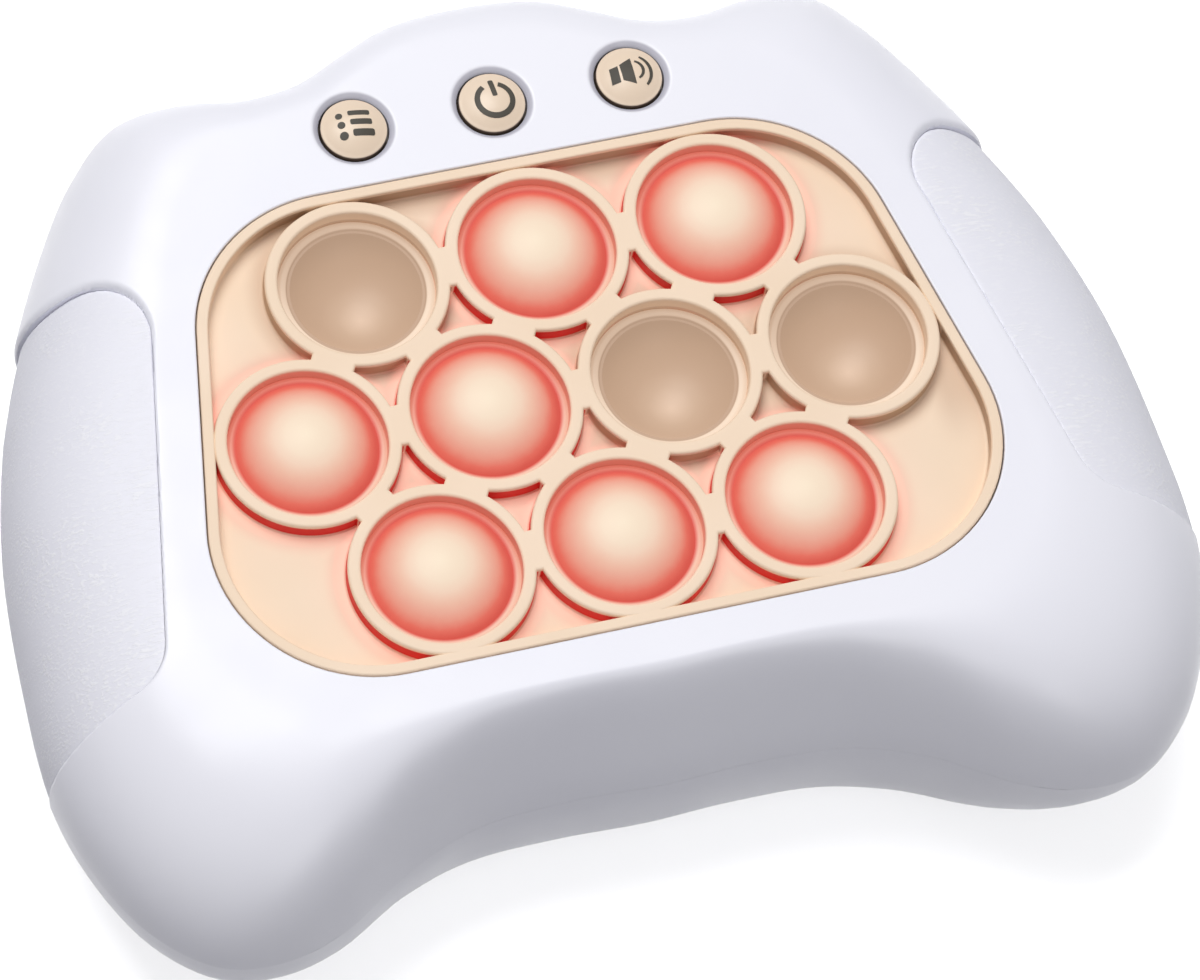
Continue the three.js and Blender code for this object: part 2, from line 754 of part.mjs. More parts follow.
function retainingFrame() {
  let frame = plate(windowOutline(frameReach), frameUnder, frameTop);
  for (const { x, y } of boardScrews) {
    frame = frame.add(rod(lugRadius, frameUnder, frameTop, x, y, screwSides));
    frame = frame.add(rod(postRadius, boardTop + seatGap, frameTop, x, y, screwSides));
  }
  for (const { x, y } of bubbles) {
    frame = frame.subtract(rod(frameHoleRadius, frameUnder - overrun, frameTop + overrun, x, y,
      frameHoleSides));
  }
  for (const { x, y } of boardScrews) {
    frame = frame.subtract(rod(boardScrewRadius + seatGap, boardTop, frameTop + overrun, x, y,
      screwSides));
  }
  return frame;
}

function circuitBoard() {
  const half = [
    new THREE.Vector2(boardHalfWidth - boardEarMargin, buttonY + boardButtonMargin),
    new THREE.Vector2(boardHalfWidth, boardScrewBackY),
    new THREE.Vector2(boardHalfWidth, boardScrewFrontY + 2 * boardEarMargin),
    new THREE.Vector2(boardScrewFrontX + boardEarMargin, boardScrewFrontY + boardEarMargin),
    new THREE.Vector2(boardScrewFrontX + boardEarMargin, boardScrewFrontY - boardEarMargin),
    new THREE.Vector2(boardScrewFrontX - boardEarMargin, boardScrewFrontY - boardEarMargin),
    new THREE.Vector2(boardScrewFrontX - 2 * boardEarMargin, windowFrontY),
  ];
  let board = plate(mirrored(half), boardUnder, boardTop);
  for (const { x, y } of boardScrews) {
    board = board.subtract(rod(boardScrewRadius + seatGap, boardUnder - overrun,
      boardTop + overrun, x, y, screwSides));
  }
  return board;
}

function tactSwitch(x, y, plungerTop) {
  const half = tactBodyWidth / 2;
  const bodyTop = boardTop + tactBodyHeight;
  const body = box(x - half, x + half, y - half, y + half, boardTop, bodyTop);
  return body.add(rod(plungerRadius, bodyTop - plungerRadius, plungerTop, x, y, smallRoundSides));
}

function lamp(x, y) {
  const nearX = x + tactBodyWidth / 2 + lampGap;
  return box(nearX, nearX + lampLength, y - lampWidth / 2, y + lampWidth / 2,
    boardTop, boardTop + lampHeight);
}

function mainChip() {
  return box(-chipLength / 2, chipLength / 2, chipY - chipWidth / 2, chipY + chipWidth / 2,
    boardUnder - chipHeight, boardUnder);
}

function speaker() {
  const coneTop = speakerFront + speakerRimHeight + speakerConeHeight;
  const profile = [
    [0, speakerFront],
    [speakerRadius, speakerFront],
    [speakerRadius, speakerFront + speakerRimHeight],
    [magnetRadius, coneTop],
    [magnetRadius, coneTop + magnetHeight],
    [0, coneTop + magnetHeight],
  ];
  return turned(profile, speakerSides).translate(speakerX, speakerY, 0);
}

// Battery

// Neighbouring cells lie head to tail, so each contact strip takes turns of long and short nubs.
function cell(x, headsBack) {
  const faceY = cellLength;
  const tipY = cellLength + cellButtonLength;
  const points = [[0, 0], [cellRadius, 0], [cellRadius, faceY], [cellButtonRadius, faceY],
    [cellButtonRadius, tipY], [0, tipY]];
  const profile = points.map(([radius, y]) => new THREE.Vector2(radius, y));
  const geometry = new THREE.LatheGeometry(profile, cellSides);
  const tailReach = contactThickness + springNubLength + seatGap;
  if (headsBack) {
    return solid(geometry.translate(x, bayFront + tailReach, cellZ));
  }
  return solid(geometry.rotateX(Math.PI).translate(x, bayBack - tailReach, cellZ));
}

function contactStrip(atBack) {
  const faceY = atBack ? bayBack : bayFront;
  const inward = atBack ? -1 : 1;
  const plateY = faceY + inward * contactThickness;
  const lowZ = doorTop + seatGap;
  const reachX = bayHalfWidth - seatGap;
  let strip = box(-reachX, reachX, Math.min(faceY, plateY), Math.max(faceY, plateY),
    lowZ, lowZ + contactHeight);
  for (let i = 0; i < cellCount; i += 1) {
    const x = (i - (cellCount - 1) / 2) * cellSpacing;
    const headsBack = i % 2 === 0;
    const length = headsBack === atBack ? flatNubLength : springNubLength;
    const nub = new THREE.CylinderGeometry(contactNubTipRadius, contactNubRadius,
      length + contactThickness / 2, smallRoundSides);
    if (atBack) {
      nub.rotateX(Math.PI);
    }
    const middle = faceY + inward * (contactThickness / 2 + (length + contactThickness / 2) / 2);
    strip = strip.add(solid(nub.translate(x, middle, cellZ)));
  }
  return strip;
}

function batteryDoor() {
  const door = doorPlan(0, doorSink, doorTop);
  const well = rod(doorScrewHeadRadius + seatGap, -overrun, doorSink + doorScrewWellDepth,
    0, doorScrewY, screwSides);
  const hole = rod(doorScrewRadius + seatGap, 0, doorTop + overrun, 0, doorScrewY, screwSides);
  return door.subtract(well).subtract(hole);
}

// Screws

// A cross-head screw that points up, with its head's top face at seat.
function screw(x, y, seat, tip, radius, headRadius, headHeight) {
  const headFoot = seat - headHeight;
  const body = turned([
    [0, headFoot],
    [headRadius, headFoot],
    [headRadius, seat],
    [radius, seat],
    [radius, tip - radius],
    [0, tip],
  ], screwSides).translate(x, y, 0);
  const reach = headRadius * crossShare;
  const half = crossWidth / 2;
  const slotTop = headFoot + crossDepth;
  const along = box(x - reach, x + reach, y - half, y + half, headFoot - overrun, slotTop);
  const across = box(x - half, x + half, y - reach, y + reach, headFoot - overrun, slotTop);
  return body.subtract(along).subtract(across);
}

// Assembly

addPiece("top_cover", topCover(), whitePlastic);
addPiece("bottom_cover", bottomCover(), whitePlastic);
addPiece("left_grip", gripPanel(-1), gripPlastic);
addPiece("right_grip", gripPanel(1), gripPlastic);
addPiece("bubble_sheet", bubbleSheet(), peachRubber);
for (const { number, x, y } of bubbles) {
  const pressed = pressedBubbles.includes(number);
  addPiece(`bubble_${number}`, bubble(pressed).translate(x, y, 0), peachRubber);
  addPiece(`bubble_switch_${number}`, tactSwitch(x, y, bubblePlungerTop), darkPlastic);
  addPiece(`lamp_${number}`, lamp(x, y), lampRed);
}
for (const { name, x } of buttons) {
  const plungerTop = boardTop + tactBodyHeight + buttonSwitchPlunger;
  addPiece(name, button().translate(x, buttonY, 0), peachPlastic);
  addPiece(`${name}_switch`, tactSwitch(x, buttonY, plungerTop), darkPlastic);
}
addPiece("retaining_frame", retainingFrame(), framePlastic);
addPiece("circuit_board", circuitBoard(), boardGreen);
addPiece("main_chip", mainChip(), darkPlastic);
addPiece("speaker", speaker(), darkPlastic);
for (let i = 0; i < cellCount; i += 1) {
  const x = (i - (cellCount - 1) / 2) * cellSpacing;
  addPiece(`battery_cell_${i + 1}`, cell(x, i % 2 === 0), cellJacket);
}
addPiece("battery_contact_back", contactStrip(true), steel);
addPiece("battery_contact_front", contactStrip(false), steel);
addPiece("battery_door", batteryDoor(), whitePlastic);
addPiece("battery_door_screw", screw(0, doorScrewY, doorSink + doorScrewWellDepth - screwGap,
  doorScrewTop - seatGap, doorScrewRadius, doorScrewHeadRadius, doorScrewHeadHeight), steel);
caseScrews.forEach(({ x, y }, i) => {
  addPiece(`case_screw_${i + 1}`, screw(x, y, caseScrewSeat - screwGap,
    partingHeight + caseScrewBite, caseScrewRadius, caseScrewHeadRadius, caseScrewHeadHeight), steel);
});
boardScrews.forEach(({ x, y }, i) => {
  addPiece(`board_screw_${i + 1}`, screw(x, y, boardUnder - screwGap,
    caseHeight - boardScrewSkin - seatGap, boardScrewRadius, boardScrewHeadRadius,
    boardScrewHeadHeight), steel);
});

export default group;
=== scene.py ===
import math

import bpy
import numpy as np
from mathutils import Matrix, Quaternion, Vector


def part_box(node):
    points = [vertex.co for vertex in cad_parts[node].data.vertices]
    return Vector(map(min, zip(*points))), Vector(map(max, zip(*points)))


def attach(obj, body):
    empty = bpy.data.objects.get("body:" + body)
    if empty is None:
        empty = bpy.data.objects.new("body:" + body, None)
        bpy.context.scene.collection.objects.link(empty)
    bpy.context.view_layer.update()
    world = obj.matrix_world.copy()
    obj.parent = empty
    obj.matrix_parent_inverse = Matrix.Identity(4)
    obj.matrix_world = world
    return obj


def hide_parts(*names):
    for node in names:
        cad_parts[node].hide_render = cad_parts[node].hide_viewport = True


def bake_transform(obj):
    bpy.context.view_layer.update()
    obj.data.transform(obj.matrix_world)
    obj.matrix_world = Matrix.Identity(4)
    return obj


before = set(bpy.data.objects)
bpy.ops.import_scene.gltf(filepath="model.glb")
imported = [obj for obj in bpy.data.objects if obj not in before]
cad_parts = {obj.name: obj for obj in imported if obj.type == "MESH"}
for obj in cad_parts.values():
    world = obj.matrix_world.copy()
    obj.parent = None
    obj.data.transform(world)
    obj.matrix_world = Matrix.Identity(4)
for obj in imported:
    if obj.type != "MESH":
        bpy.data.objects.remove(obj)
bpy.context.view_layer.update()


# Sizes read from the frame

def middle_of(node):
    low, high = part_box(node)
    return (low.x + high.x) / 2, (low.y + high.y) / 2


def half_width_of(node):
    low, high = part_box(node)
    return (high.x - low.x) / 2


# Levels, walls and gaps, in metres
case_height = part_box("top_cover")[1].z
parting_height = (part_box("top_cover")[0].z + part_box("bottom_cover")[1].z) / 2
case_wall = 0.0022
ceiling = case_height - case_wall
seat_gap = 0.0003
seam_gap = 0.00004
overrun = 0.005
far_side = 0.1

# Case skin
case_half_width = 0.0837
case_half_depth = 0.066317
plan_fit = (0.9965, 0.9985)
flat_margin = 0.0005
base_inset_share = 0.66
base_corner_weight = 0.52
crease_reach = 0.5
crease_ease = 0.2

# Bubbles and sheet
bubble_numbers = [f"{n:02d}" for n in range(1, 11)]
pressed_bubbles = ["01", "06", "07"]
floor_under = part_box("bubble_sheet")[0].z
floor_top = floor_under + 0.0012
dome_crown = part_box("bubble_02")[1].z
bowl_bottom = dome_crown - 0.011
dome_radius = 0.0099
dome_rim = floor_top + 0.00085
bowl_radius = 0.00978
bowl_rim = floor_top + 0.0002
dome_skin = 0.0005
lip_radius = 0.01045
lip_rise = 0.00018
bubble_hole_radius = 0.0102
ring_inner_radius = 0.0111
ring_outer_radius = 0.01295
ring_lip = 0.00045
wall_foot = 0.00045
bubble_pitch = 0.026
web_half_length = 0.0031
web_half_width = 0.0012
skin_clearance = 0.00005
lip_shoulder = 0.0003
lip_foot = 0.0002

# Window, the sheet's rim and its flange
window_back_half_width = 0.0464
window_front_half_width = 0.0613
window_back_y = 0.037317
window_front_y = -0.036717
window_corner_radius = 0.022
window_lip = 0.00025
rim_width = 0.0015
rim_lip = 0.0003
rim_gap = 0.0002
flange_reach = 0.0024

# Where the painted light and shade on the sheet fade in or out, each as the two ends of its fade:
# distances from a bubble's middle, then heights above the sheet's floor, then depths below the rings' tops
ring_inside_band = (0.0112, 0.0116)
ring_outside_start = (0.0125, 0.0127)
ring_outside_end = (0.0131, 0.01335)
past_the_rings = (0.0134, 0.0136)
wall_tint_rise = (0.0001, 0.0003)
wall_tint_drop = (0.0008, 0.0005)
lip_tint_drop = (0.0006, 0.0002)

# The fades of the painted shade on the sheet: how far in from the window's back, where on the right,
# and on the rim's wall by y plus a share of x, the lean
back_shade_inset = (0.0065, 0.003)
right_shade_x = (0.047, 0.051)
right_shade_y = (-0.02, -0.01)
rim_shade_lean = 0.6
rim_shade_reach = (0.004, 0.014)

# Buttons
button_names = ["mode_button", "power_button", "volume_button"]
button_radius = 0.00475
button_edge = case_height - 0.00015
button_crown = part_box("power_button")[1].z
button_edge_round = 0.0003
button_hole_radius = 0.00505
button_sink_radius = 0.0056
button_sink_depth = 0.00075
button_sink_round = (0.0006, 0.0002)
button_stem_radius = 0.0018
button_flange_reach = 0.0009
button_flange_height = 0.0012
print_lift = 0.00003
print_depth = 0.00015
well_shade_rise = 0.0005
cap_shade_drop = (0.00025, 0.00005)

# Grip panels: sink and edge rounding change from the heel, along the inner edge, to the arch
grip_thickness = 0.0014
grip_depth = 0.0021
grip_foot = 0.009
grip_back = (0.05355, 0.031517)
grip_back_radius = 0.009
grip_front = (0.06625, -0.029017)
grip_front_radius = 0.008
grip_out_y = -0.041017
grip_stations = (-0.036, -0.03, 0.018, 0.03)
grip_sink = (0.00025, 0.0004, 0.0004, 0.0009)
cover_round = (0.00012, 0.0003, 0.00045, 0.0011)
panel_round = (0.0001, 0.00015, 0.0003, 0.0005)
grip_gap = 0.00005
peg_radius = 0.0015
peg_length = 0.0034
peg_back_inset = (0.0086, 0.0175)
peg_front_inset = (0.0031, 0.009)

# Screws and what they hold
case_screws = [f"case_screw_{n}" for n in range(1, 5)]
board_screws = [f"board_screw_{n}" for n in range(1, 5)]
case_boss_radius = 0.0036
case_post_radius = 0.0044
head_well_radius = 0.0032
case_screw_seat = 0.016
case_shank_radius = 0.0013
door_shank_radius = 0.00125
screw_clearance = 0.0003
case_head_height = 0.002
door_head_height = 0.0012
cross_width = 0.0008
cross_depth = 0.0009
thread_pitch = 0.0007
thread_depth = 0.00022
board_post_radius = 0.003

# Battery bay, its door and the loudspeaker's place
bay_half_width = 0.02275
bay_front = -0.01235
bay_back = 0.04435
bay_ceiling = 0.0178
bay_wall = 0.0036
bay_roof = 0.0016
door_low, door_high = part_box("battery_door")
door_lap = 0.002
door_tongue_half_width = 0.008
door_corner = 0.0015
door_edge = 0.0004
door_screw_well = (0.0029, 0.0019)
speaker_x, speaker_y = middle_of("speaker")
collar_radius = half_width_of("speaker") + seat_gap
collar_wall = 0.0012
collar_height = 0.0034
speaker_hole_radius = 0.0013
speaker_hole_ring = 0.006
speaker_hole_count = 8
mouth_round = 0.0003
cell_band_y = (0.026, 0.0262)

# How finely things are drawn: columns, base rows and crown rows of the skin, each band round a
# panel's edge with the number of cuts through its faces, rows of a dome, sides of round pieces,
# and the angles in degrees up to which faces are shaded as one
fine_skin = (264, 12, 20)
coarse_skin = (132, 6, 10)
grip_edge_bands = ((0.003, 1), (0.0014, 3))
bubble_rows = 18
cap_rows = 12
large_round_sides = 96
bubble_sides = 80
medium_round_sides = 64
round_sides = 48
small_round_sides = 32
hole_sides = 24
smooth_angle = 32
bubble_smooth_angle = 50

# Stage and camera: each lamp has its place, size and power, the roll is in degrees and the lens
# in millimetres
floor_size = 6
floor_glow = 0.6
room_light = 0.275
key_light = ((-0.22, 0.75, 1.83), 1.2, 26.2)
front_light = ((0.15, -0.95, 0.75), 0.6, 1.5)
camera_place = Vector((-0.21222, -0.40418, 0.89635))
camera_aim = Vector((-0.001695, -0.015759, 0.044))
camera_roll = 14.2294
camera_lens = 210
camera_near = 0.05

# Each row gives x and y of the widest line, x and y of the crown's edge, and the corner and
# its weight on the curve between them, from the back middle to the front middle.
case_plan_shares = [
    (0, 1, 0, 0.875, 1, 1.3),
    (0.136, 0.985, 0.108, 0.86, 1, 1.3),
    (0.227, 0.94, 0.191, 0.822, 1, 1.2),
    (0.311, 0.896, 0.275, 0.776, 1, 1.1),
    (0.406, 0.882, 0.37, 0.755, 1, 1.1),
    (0.52, 0.912, 0.46, 0.734, 1, 1.1),
    (0.627, 0.905, 0.526, 0.682, 1, 1),
    (0.707, 0.817, 0.573, 0.605, 1, 0.85),
    (0.77, 0.701, 0.609, 0.51, 1, 0.8),
    (0.866, 0.471, 0.645, 0.351, 1, 0.8),
    (0.934, 0.235, 0.675, 0.163, 1, 0.8),
    (0.978, 0, 0.703, -0.033, 1, 0.8),
    (0.999, -0.302, 0.723, -0.222, 1, 0.75),
    (1, -0.498, 0.729, -0.342, 1, 0.75),
    (0.97, -0.686, 0.711, -0.448, 1, 0.75),
    (0.896, -0.875, 0.663, -0.538, 0.95, 0.75),
    (0.8, -0.98, 0.597, -0.603, 0.9, 0.75),
    (0.699, -1, 0.538, -0.633, 0.85, 0.8),
    (0.59, -0.965, 0.472, -0.644, 0.7, 0.85),
    (0.454, -0.863, 0.382, -0.645, 0.5, 1),
    (0.323, -0.804, 0.281, -0.637, 0.35, 1.2),
    (0.155, -0.792, 0.143, -0.636, 0.25, 1.3),
    (0, -0.799, 0, -0.64, 0.25, 1.3),
]


# Working on a mesh

def clear_selection():
    bpy.ops.object.select_all(action="DESELECT")


def take(piece):
    clear_selection()
    piece.select_set(True)
    bpy.context.view_layer.objects.active = piece


def points_of(piece):
    flat = np.empty(len(piece.data.vertices) * 3)
    piece.data.vertices.foreach_get("co", flat)
    return flat.reshape(-1, 3)


def lay_points(piece, places):
    piece.data.vertices.foreach_set("co", np.asarray(places, float).ravel())
    piece.data.update()


def settle(piece):
    take(piece)
    bpy.ops.object.transform_apply(location=True, rotation=True, scale=True)


def open_chosen(piece, chosen, faces):
    """Opens the piece in edit mode with only the chosen faces, or else edges, selected."""
    take(piece)
    bpy.context.tool_settings.mesh_select_mode = (False, not faces, faces)
    bpy.ops.object.mode_set(mode="EDIT")
    bpy.ops.mesh.select_all(action="DESELECT")
    bpy.ops.object.mode_set(mode="OBJECT")
    parts = piece.data.polygons if faces else piece.data.edges
    parts.foreach_set("select", np.asarray(chosen, bool))
    bpy.ops.object.mode_set(mode="EDIT")


def close_up(piece):
    """Merges doubles, closes open ends with flat faces and points all faces outwards."""
    take(piece)
    bpy.context.tool_settings.mesh_select_mode = (True, False, False)
    bpy.ops.object.mode_set(mode="EDIT")
    bpy.ops.mesh.select_all(action="SELECT")
    bpy.ops.mesh.remove_doubles(threshold=0.000002)
    bpy.ops.mesh.select_all(action="SELECT")
    bpy.ops.mesh.fill_holes(sides=0)
    bpy.ops.mesh.select_all(action="SELECT")
    bpy.ops.mesh.normals_make_consistent(inside=False)
    bpy.ops.object.mode_set(mode="OBJECT")


def combine(piece, other, operation):
    change = piece.modifiers.new("combine", "BOOLEAN")
    change.operation = operation
    change.solver = "MANIFOLD"
    change.object = other
    take(piece)
    bpy.ops.object.modifier_apply(modifier=change.name)
    bpy.data.objects.remove(other)
    return piece


def copy_of(piece, name):
    twin = piece.copy()
    twin.data = piece.data.copy()
    twin.name = name
    bpy.context.collection.objects.link(twin)
    return twin


def joined(pieces):
    """One object from several that don't touch."""
    clear_selection()
    for piece in pieces:
        piece.select_set(True)
    bpy.context.view_layer.objects.active = pieces[0]
    bpy.ops.object.join()
    return pieces[0]


def cut_level(piece, z, keep_above):
    take(piece)
    bpy.ops.object.mode_set(mode="EDIT")
    bpy.ops.mesh.select_all(action="SELECT")
    bpy.ops.mesh.bisect(plane_co=(0, 0, z), plane_no=(0, 0, 1), use_fill=True,
                        clear_inner=keep_above, clear_outer=not keep_above)
    bpy.ops.object.mode_set(mode="OBJECT")


# Simple shapes

def flat_grid(name, columns, rows):
    """A flat sheet of faces. Its x and y, from 0 to 1, are the shares across and along it."""
    clear_selection()
    bpy.ops.mesh.primitive_grid_add(x_subdivisions=columns, y_subdivisions=rows, size=1)
    sheet = bpy.context.object
    sheet.name = name
    lay_points(sheet, points_of(sheet) + [0.5, 0.5, 0])
    return sheet


def turned(name, profile, sides, x=0, y=0):
    """A round piece from its profile of radius and height, turned about an upright line."""
    profile = np.array(profile, float)
    piece = flat_grid(name, sides, len(profile) - 1)
    shares = points_of(piece)
    step = shares[:, 1] * (len(profile) - 1)
    radius = np.interp(step, range(len(profile)), profile[:, 0])
    z = np.interp(step, range(len(profile)), profile[:, 1])
    turn = 2 * math.pi * (shares[:, 0] % 1)
    lay_points(piece, np.stack([x + radius * np.cos(turn), y + radius * np.sin(turn), z], 1))
    close_up(piece)
    return piece


def rod(name, radius, low, high, x, y, sides=round_sides):
    clear_selection()
    bpy.ops.mesh.primitive_cylinder_add(vertices=sides, radius=radius, depth=high - low,
                                        location=(x, y, (low + high) / 2))
    bpy.context.object.name = name
    settle(bpy.context.object)
    return bpy.context.object


def block(name, low, high):
    clear_selection()
    middle = [(a + b) / 2 for a, b in zip(low, high)]
    bpy.ops.mesh.primitive_cube_add(size=1, location=middle)
    bpy.context.object.name = name
    bpy.context.object.scale = [b - a for a, b in zip(low, high)]
    settle(bpy.context.object)
    return bpy.context.object


def stacked(name, outline_at, profile):
    """A solid whose upright wall follows outline_at(reach) at each (reach, z) of the profile."""
    rings = [outline_at(reach) for reach, z in profile]
    count = len(rings[0])
    piece = flat_grid(name, count, len(profile) - 1)
    shares = points_of(piece)
    column = np.rint(shares[:, 0] * count).astype(int) % count
    row = np.rint(shares[:, 1] * (len(profile) - 1)).astype(int)
    plan = np.array(rings)[row, column]
    z = np.array([z for reach, z in profile])[row]
    lay_points(piece, np.column_stack([plan, z]))
    close_up(piece)
    return piece


def quarter_turn(steps=4):
    """Angles from nothing to a quarter of a turn, in even steps."""
    return [math.pi / 2 * i / steps for i in range(steps + 1)]


def rounded_edge(reach, z, radius, out=1, up=1):
    """Profile points of a rounded edge whose sharp corner is at (reach, z), wall first. The solid
    lies inside reach for out=1 and below z for up=1."""
    return [(reach - out * radius * (1 - math.cos(t)), z - up * radius * (1 - math.sin(t)))
            for t in quarter_turn()]


def dome_arc(radius, edge_z, crown_z, steps):
    """Profile points of a ball's cap, from just inside its edge to the axis."""
    height = crown_z - edge_z
    ball = (radius ** 2 + height ** 2) / (2 * height)
    opening = math.asin(radius / abs(ball))
    side = math.copysign(1, height)
    arc = [(abs(ball) * math.sin(opening * (1 - i / steps)),
            crown_z - side * abs(ball) * (1 - math.cos(opening * (1 - i / steps))))
           for i in range(1, steps)]
    return arc + [(0, crown_z)]


# Case skin

def round_the_case(columns, mirror):
    """The right-hand rows and then the left-hand ones, clockwise from the back middle."""
    half = np.array([[row[c] for c in columns] for row in case_plan_shares], float)
    return np.vstack([half, half[-2:0:-1] * mirror])


plan_scale = np.array([case_half_width, case_half_depth]) * np.array(plan_fit)
widest_points = round_the_case((0, 1), (-1, 1)) * plan_scale
crown_points = round_the_case((2, 3), (-1, 1)) * plan_scale
edge_shapes = round_the_case((4, 5), (1, 1))


def closed_curve(points, share, by_distance=True):
    """Places along the smooth closed curve through the points, and the way it runs there."""
    count = len(points)
    place = (share % 1) * count
    start = np.floor(place).astype(int)
    w = (place - start)[:, None]
    p0, p1, p2, p3 = (points[(start + k) % count] for k in (-1, 0, 1, 2))
    if by_distance:
        d0, d1, d2 = (np.sqrt(np.linalg.norm(b - a, axis=1))[:, None]
                      for a, b in ((p0, p1), (p1, p2), (p2, p3)))
        t1 = ((p1 - p0) / d0 - (p2 - p0) / (d0 + d1) + (p2 - p1) / d1) * d1
        t2 = ((p2 - p1) / d1 - (p3 - p1) / (d1 + d2) + (p3 - p2) / d2) * d1
    else:
        t1 = (p2 - p0) / 2
        t2 = (p3 - p1) / 2
    squared = -3 * p1 + 3 * p2 - 2 * t1 - t2
    cubed = 2 * p1 - 2 * p2 + t1 + t2
    return p1 + t1 * w + squared * w ** 2 + cubed * w ** 3, t1 + 2 * squared * w + 3 * cubed * w ** 2


def case_skin(share, level, depth):
    """Places on the skin moved in by depth. Level 0 is the edge of the base's flat, 1 the parting
    and 2 the edge of the crown's flat; past 0 and 2 the flats run on inwards for a short way."""
    widest, way = closed_curve(widest_points, share)
    crown, _ = closed_curve(crown_points, share)
    shape, _ = closed_curve(edge_shapes, share, by_distance=False)
    inward = np.stack([way[:, 1], -way[:, 0]], 1)
    inward /= np.linalg.norm(inward, axis=1)[:, None]
    upper = level > 1
    edge = widest + inward * depth[:, None]
    flat = np.where(upper[:, None], crown, widest + (crown - widest) * base_inset_share)
    corner = np.where(upper, shape[:, 0], 1)
    weight = np.where(upper, shape[:, 1], base_corner_weight)
    step = np.clip(np.where(upper, 2 - level, level), 0, 1)
    near = (1 - step) ** 2
    middle = 2 * step * (1 - step) * weight
    far = step ** 2
    out = (middle * corner + far) / (near + middle + far)
    drop = far / (near + middle + far)
    past = np.clip(np.maximum(level - 2, -level), 0, 1)
    plan = flat + (edge - flat) * out[:, None] + inward * (past * flat_margin)[:, None]
    flat_z = np.where(upper, case_height - depth, depth)
    return np.column_stack([plan, flat_z + (parting_height - flat_z) * drop])


def eased_skin(share, level, depth):
    """The skin, with its crease at the parting eased where the wall above leans outwards."""
    shape, _ = closed_curve(edge_shapes, share, by_distance=False)
    near = np.clip(1 - np.abs(level - 1) / crease_reach, 0, 1)
    ease = crease_ease * (1 - shape[:, 0]) * near
    return np.mean([case_skin(share, level + ease * step, depth)
                    for step in (-1, -0.75, -0.5, -0.25, 0, 0.25, 0.5, 0.75, 1)], axis=0)


def rounded_outline(corners, steps=10):
    """Points of an outline through (x, y, radius) corners, clockwise from above."""
    points = []
    for i, (x, y, radius) in enumerate(corners):
        here = Vector((x, y))
        back = (Vector(corners[i - 1][:2]) - here).normalized()
        ahead = (Vector(corners[(i + 1) % len(corners)][:2]) - here).normalized()
        if radius == 0:
            points.append(here)
            continue
        half = math.acos(back.dot(ahead)) / 2
        centre = here + (back + ahead).normalized() * radius / math.sin(half)
        start = here + back * radius / math.tan(half) - centre
        way = -1 if back.cross(ahead) > 0 else 1
        for k in range(steps + 1):
            turn = way * (math.pi - 2 * half) * k / steps
            arm = Vector((start.x * math.cos(turn) - start.y * math.sin(turn),
                          start.x * math.sin(turn) + start.y * math.cos(turn)))
            points.append(centre + arm)
    return [tuple(point) for point in points]


def grip_outline(grow, side=1):
    corners = [
        (far_side, grip_back[1] + grow, 0),
        (far_side, grip_out_y - grow, 0),
        (grip_front[0] - grow, grip_front[1] - grow, grip_front_radius + grow),
        (grip_back[0] - grow, grip_back[1] + grow, grip_back_radius + grow),
    ]
    outline = rounded_outline(corners)
    if side < 0:
        outline = [(-x, y) for x, y in reversed(outline)]
    return outline


def distance_outside(places, outline):
    """How far each place is outside the outline, below zero inside."""
    a = np.array(outline)
    b = np.roll(a, -1, axis=0)
    best = np.full(len(places), np.inf)
    inside = np.zeros(len(places), bool)
    x, y = places[:, 0], places[:, 1]
    for (ax, ay), (bx, by) in zip(a, b):
        length = (bx - ax) ** 2 + (by - ay) ** 2
        share = np.clip(((x - ax) * (bx - ax) + (y - ay) * (by - ay)) / length, 0, 1)
        best = np.minimum(best, np.hypot(x - ax - share * (bx - ax), y - ay - share * (by - ay)))
        crosses = ((ay > y) != (by > y))
        crossing = ax + (y - ay) * (bx - ax) / np.where(crosses, by - ay, 1)
        inside ^= crosses & (x < crossing)
    return np.where(inside, -best, best)


def grip_distance(places):
    """How far each place is outside the nearer grip panel's recess, below zero inside."""
    plan = np.column_stack([np.abs(places[:, 0]), places[:, 1]])
    return np.maximum(distance_outside(plan, grip_outline(0)), grip_foot - places[:, 2])


def along_grip(places, sizes):
    return np.interp(places[:, 1], grip_stations, sizes)


def round_off(distance, radius):
    """How far a skin sinks at a distance from an edge that is rounded by radius."""
    short = np.clip(radius - distance, 0, radius)
    return radius - np.sqrt(radius ** 2 - short ** 2)


def cover_depth(places):
    return round_off(grip_distance(places), along_grip(places, cover_round))


def panel_depth(places):
    inside = -grip_distance(places) - grip_gap
    return along_grip(places, grip_sink) + round_off(inside, along_grip(places, panel_round))


def near_grip_edge(piece, lay, band):
    """The faces within a band of the edge of a grip panel's recess."""
    distance = grip_distance(lay(points_of(piece), 0))
    faces = piece.data.polygons
    chosen = np.zeros(len(faces), bool)
    for i, face in enumerate(faces):
        reach = distance[list(face.vertices)]
        chosen[i] = reach.min() < band and reach.max() > -band
    return chosen


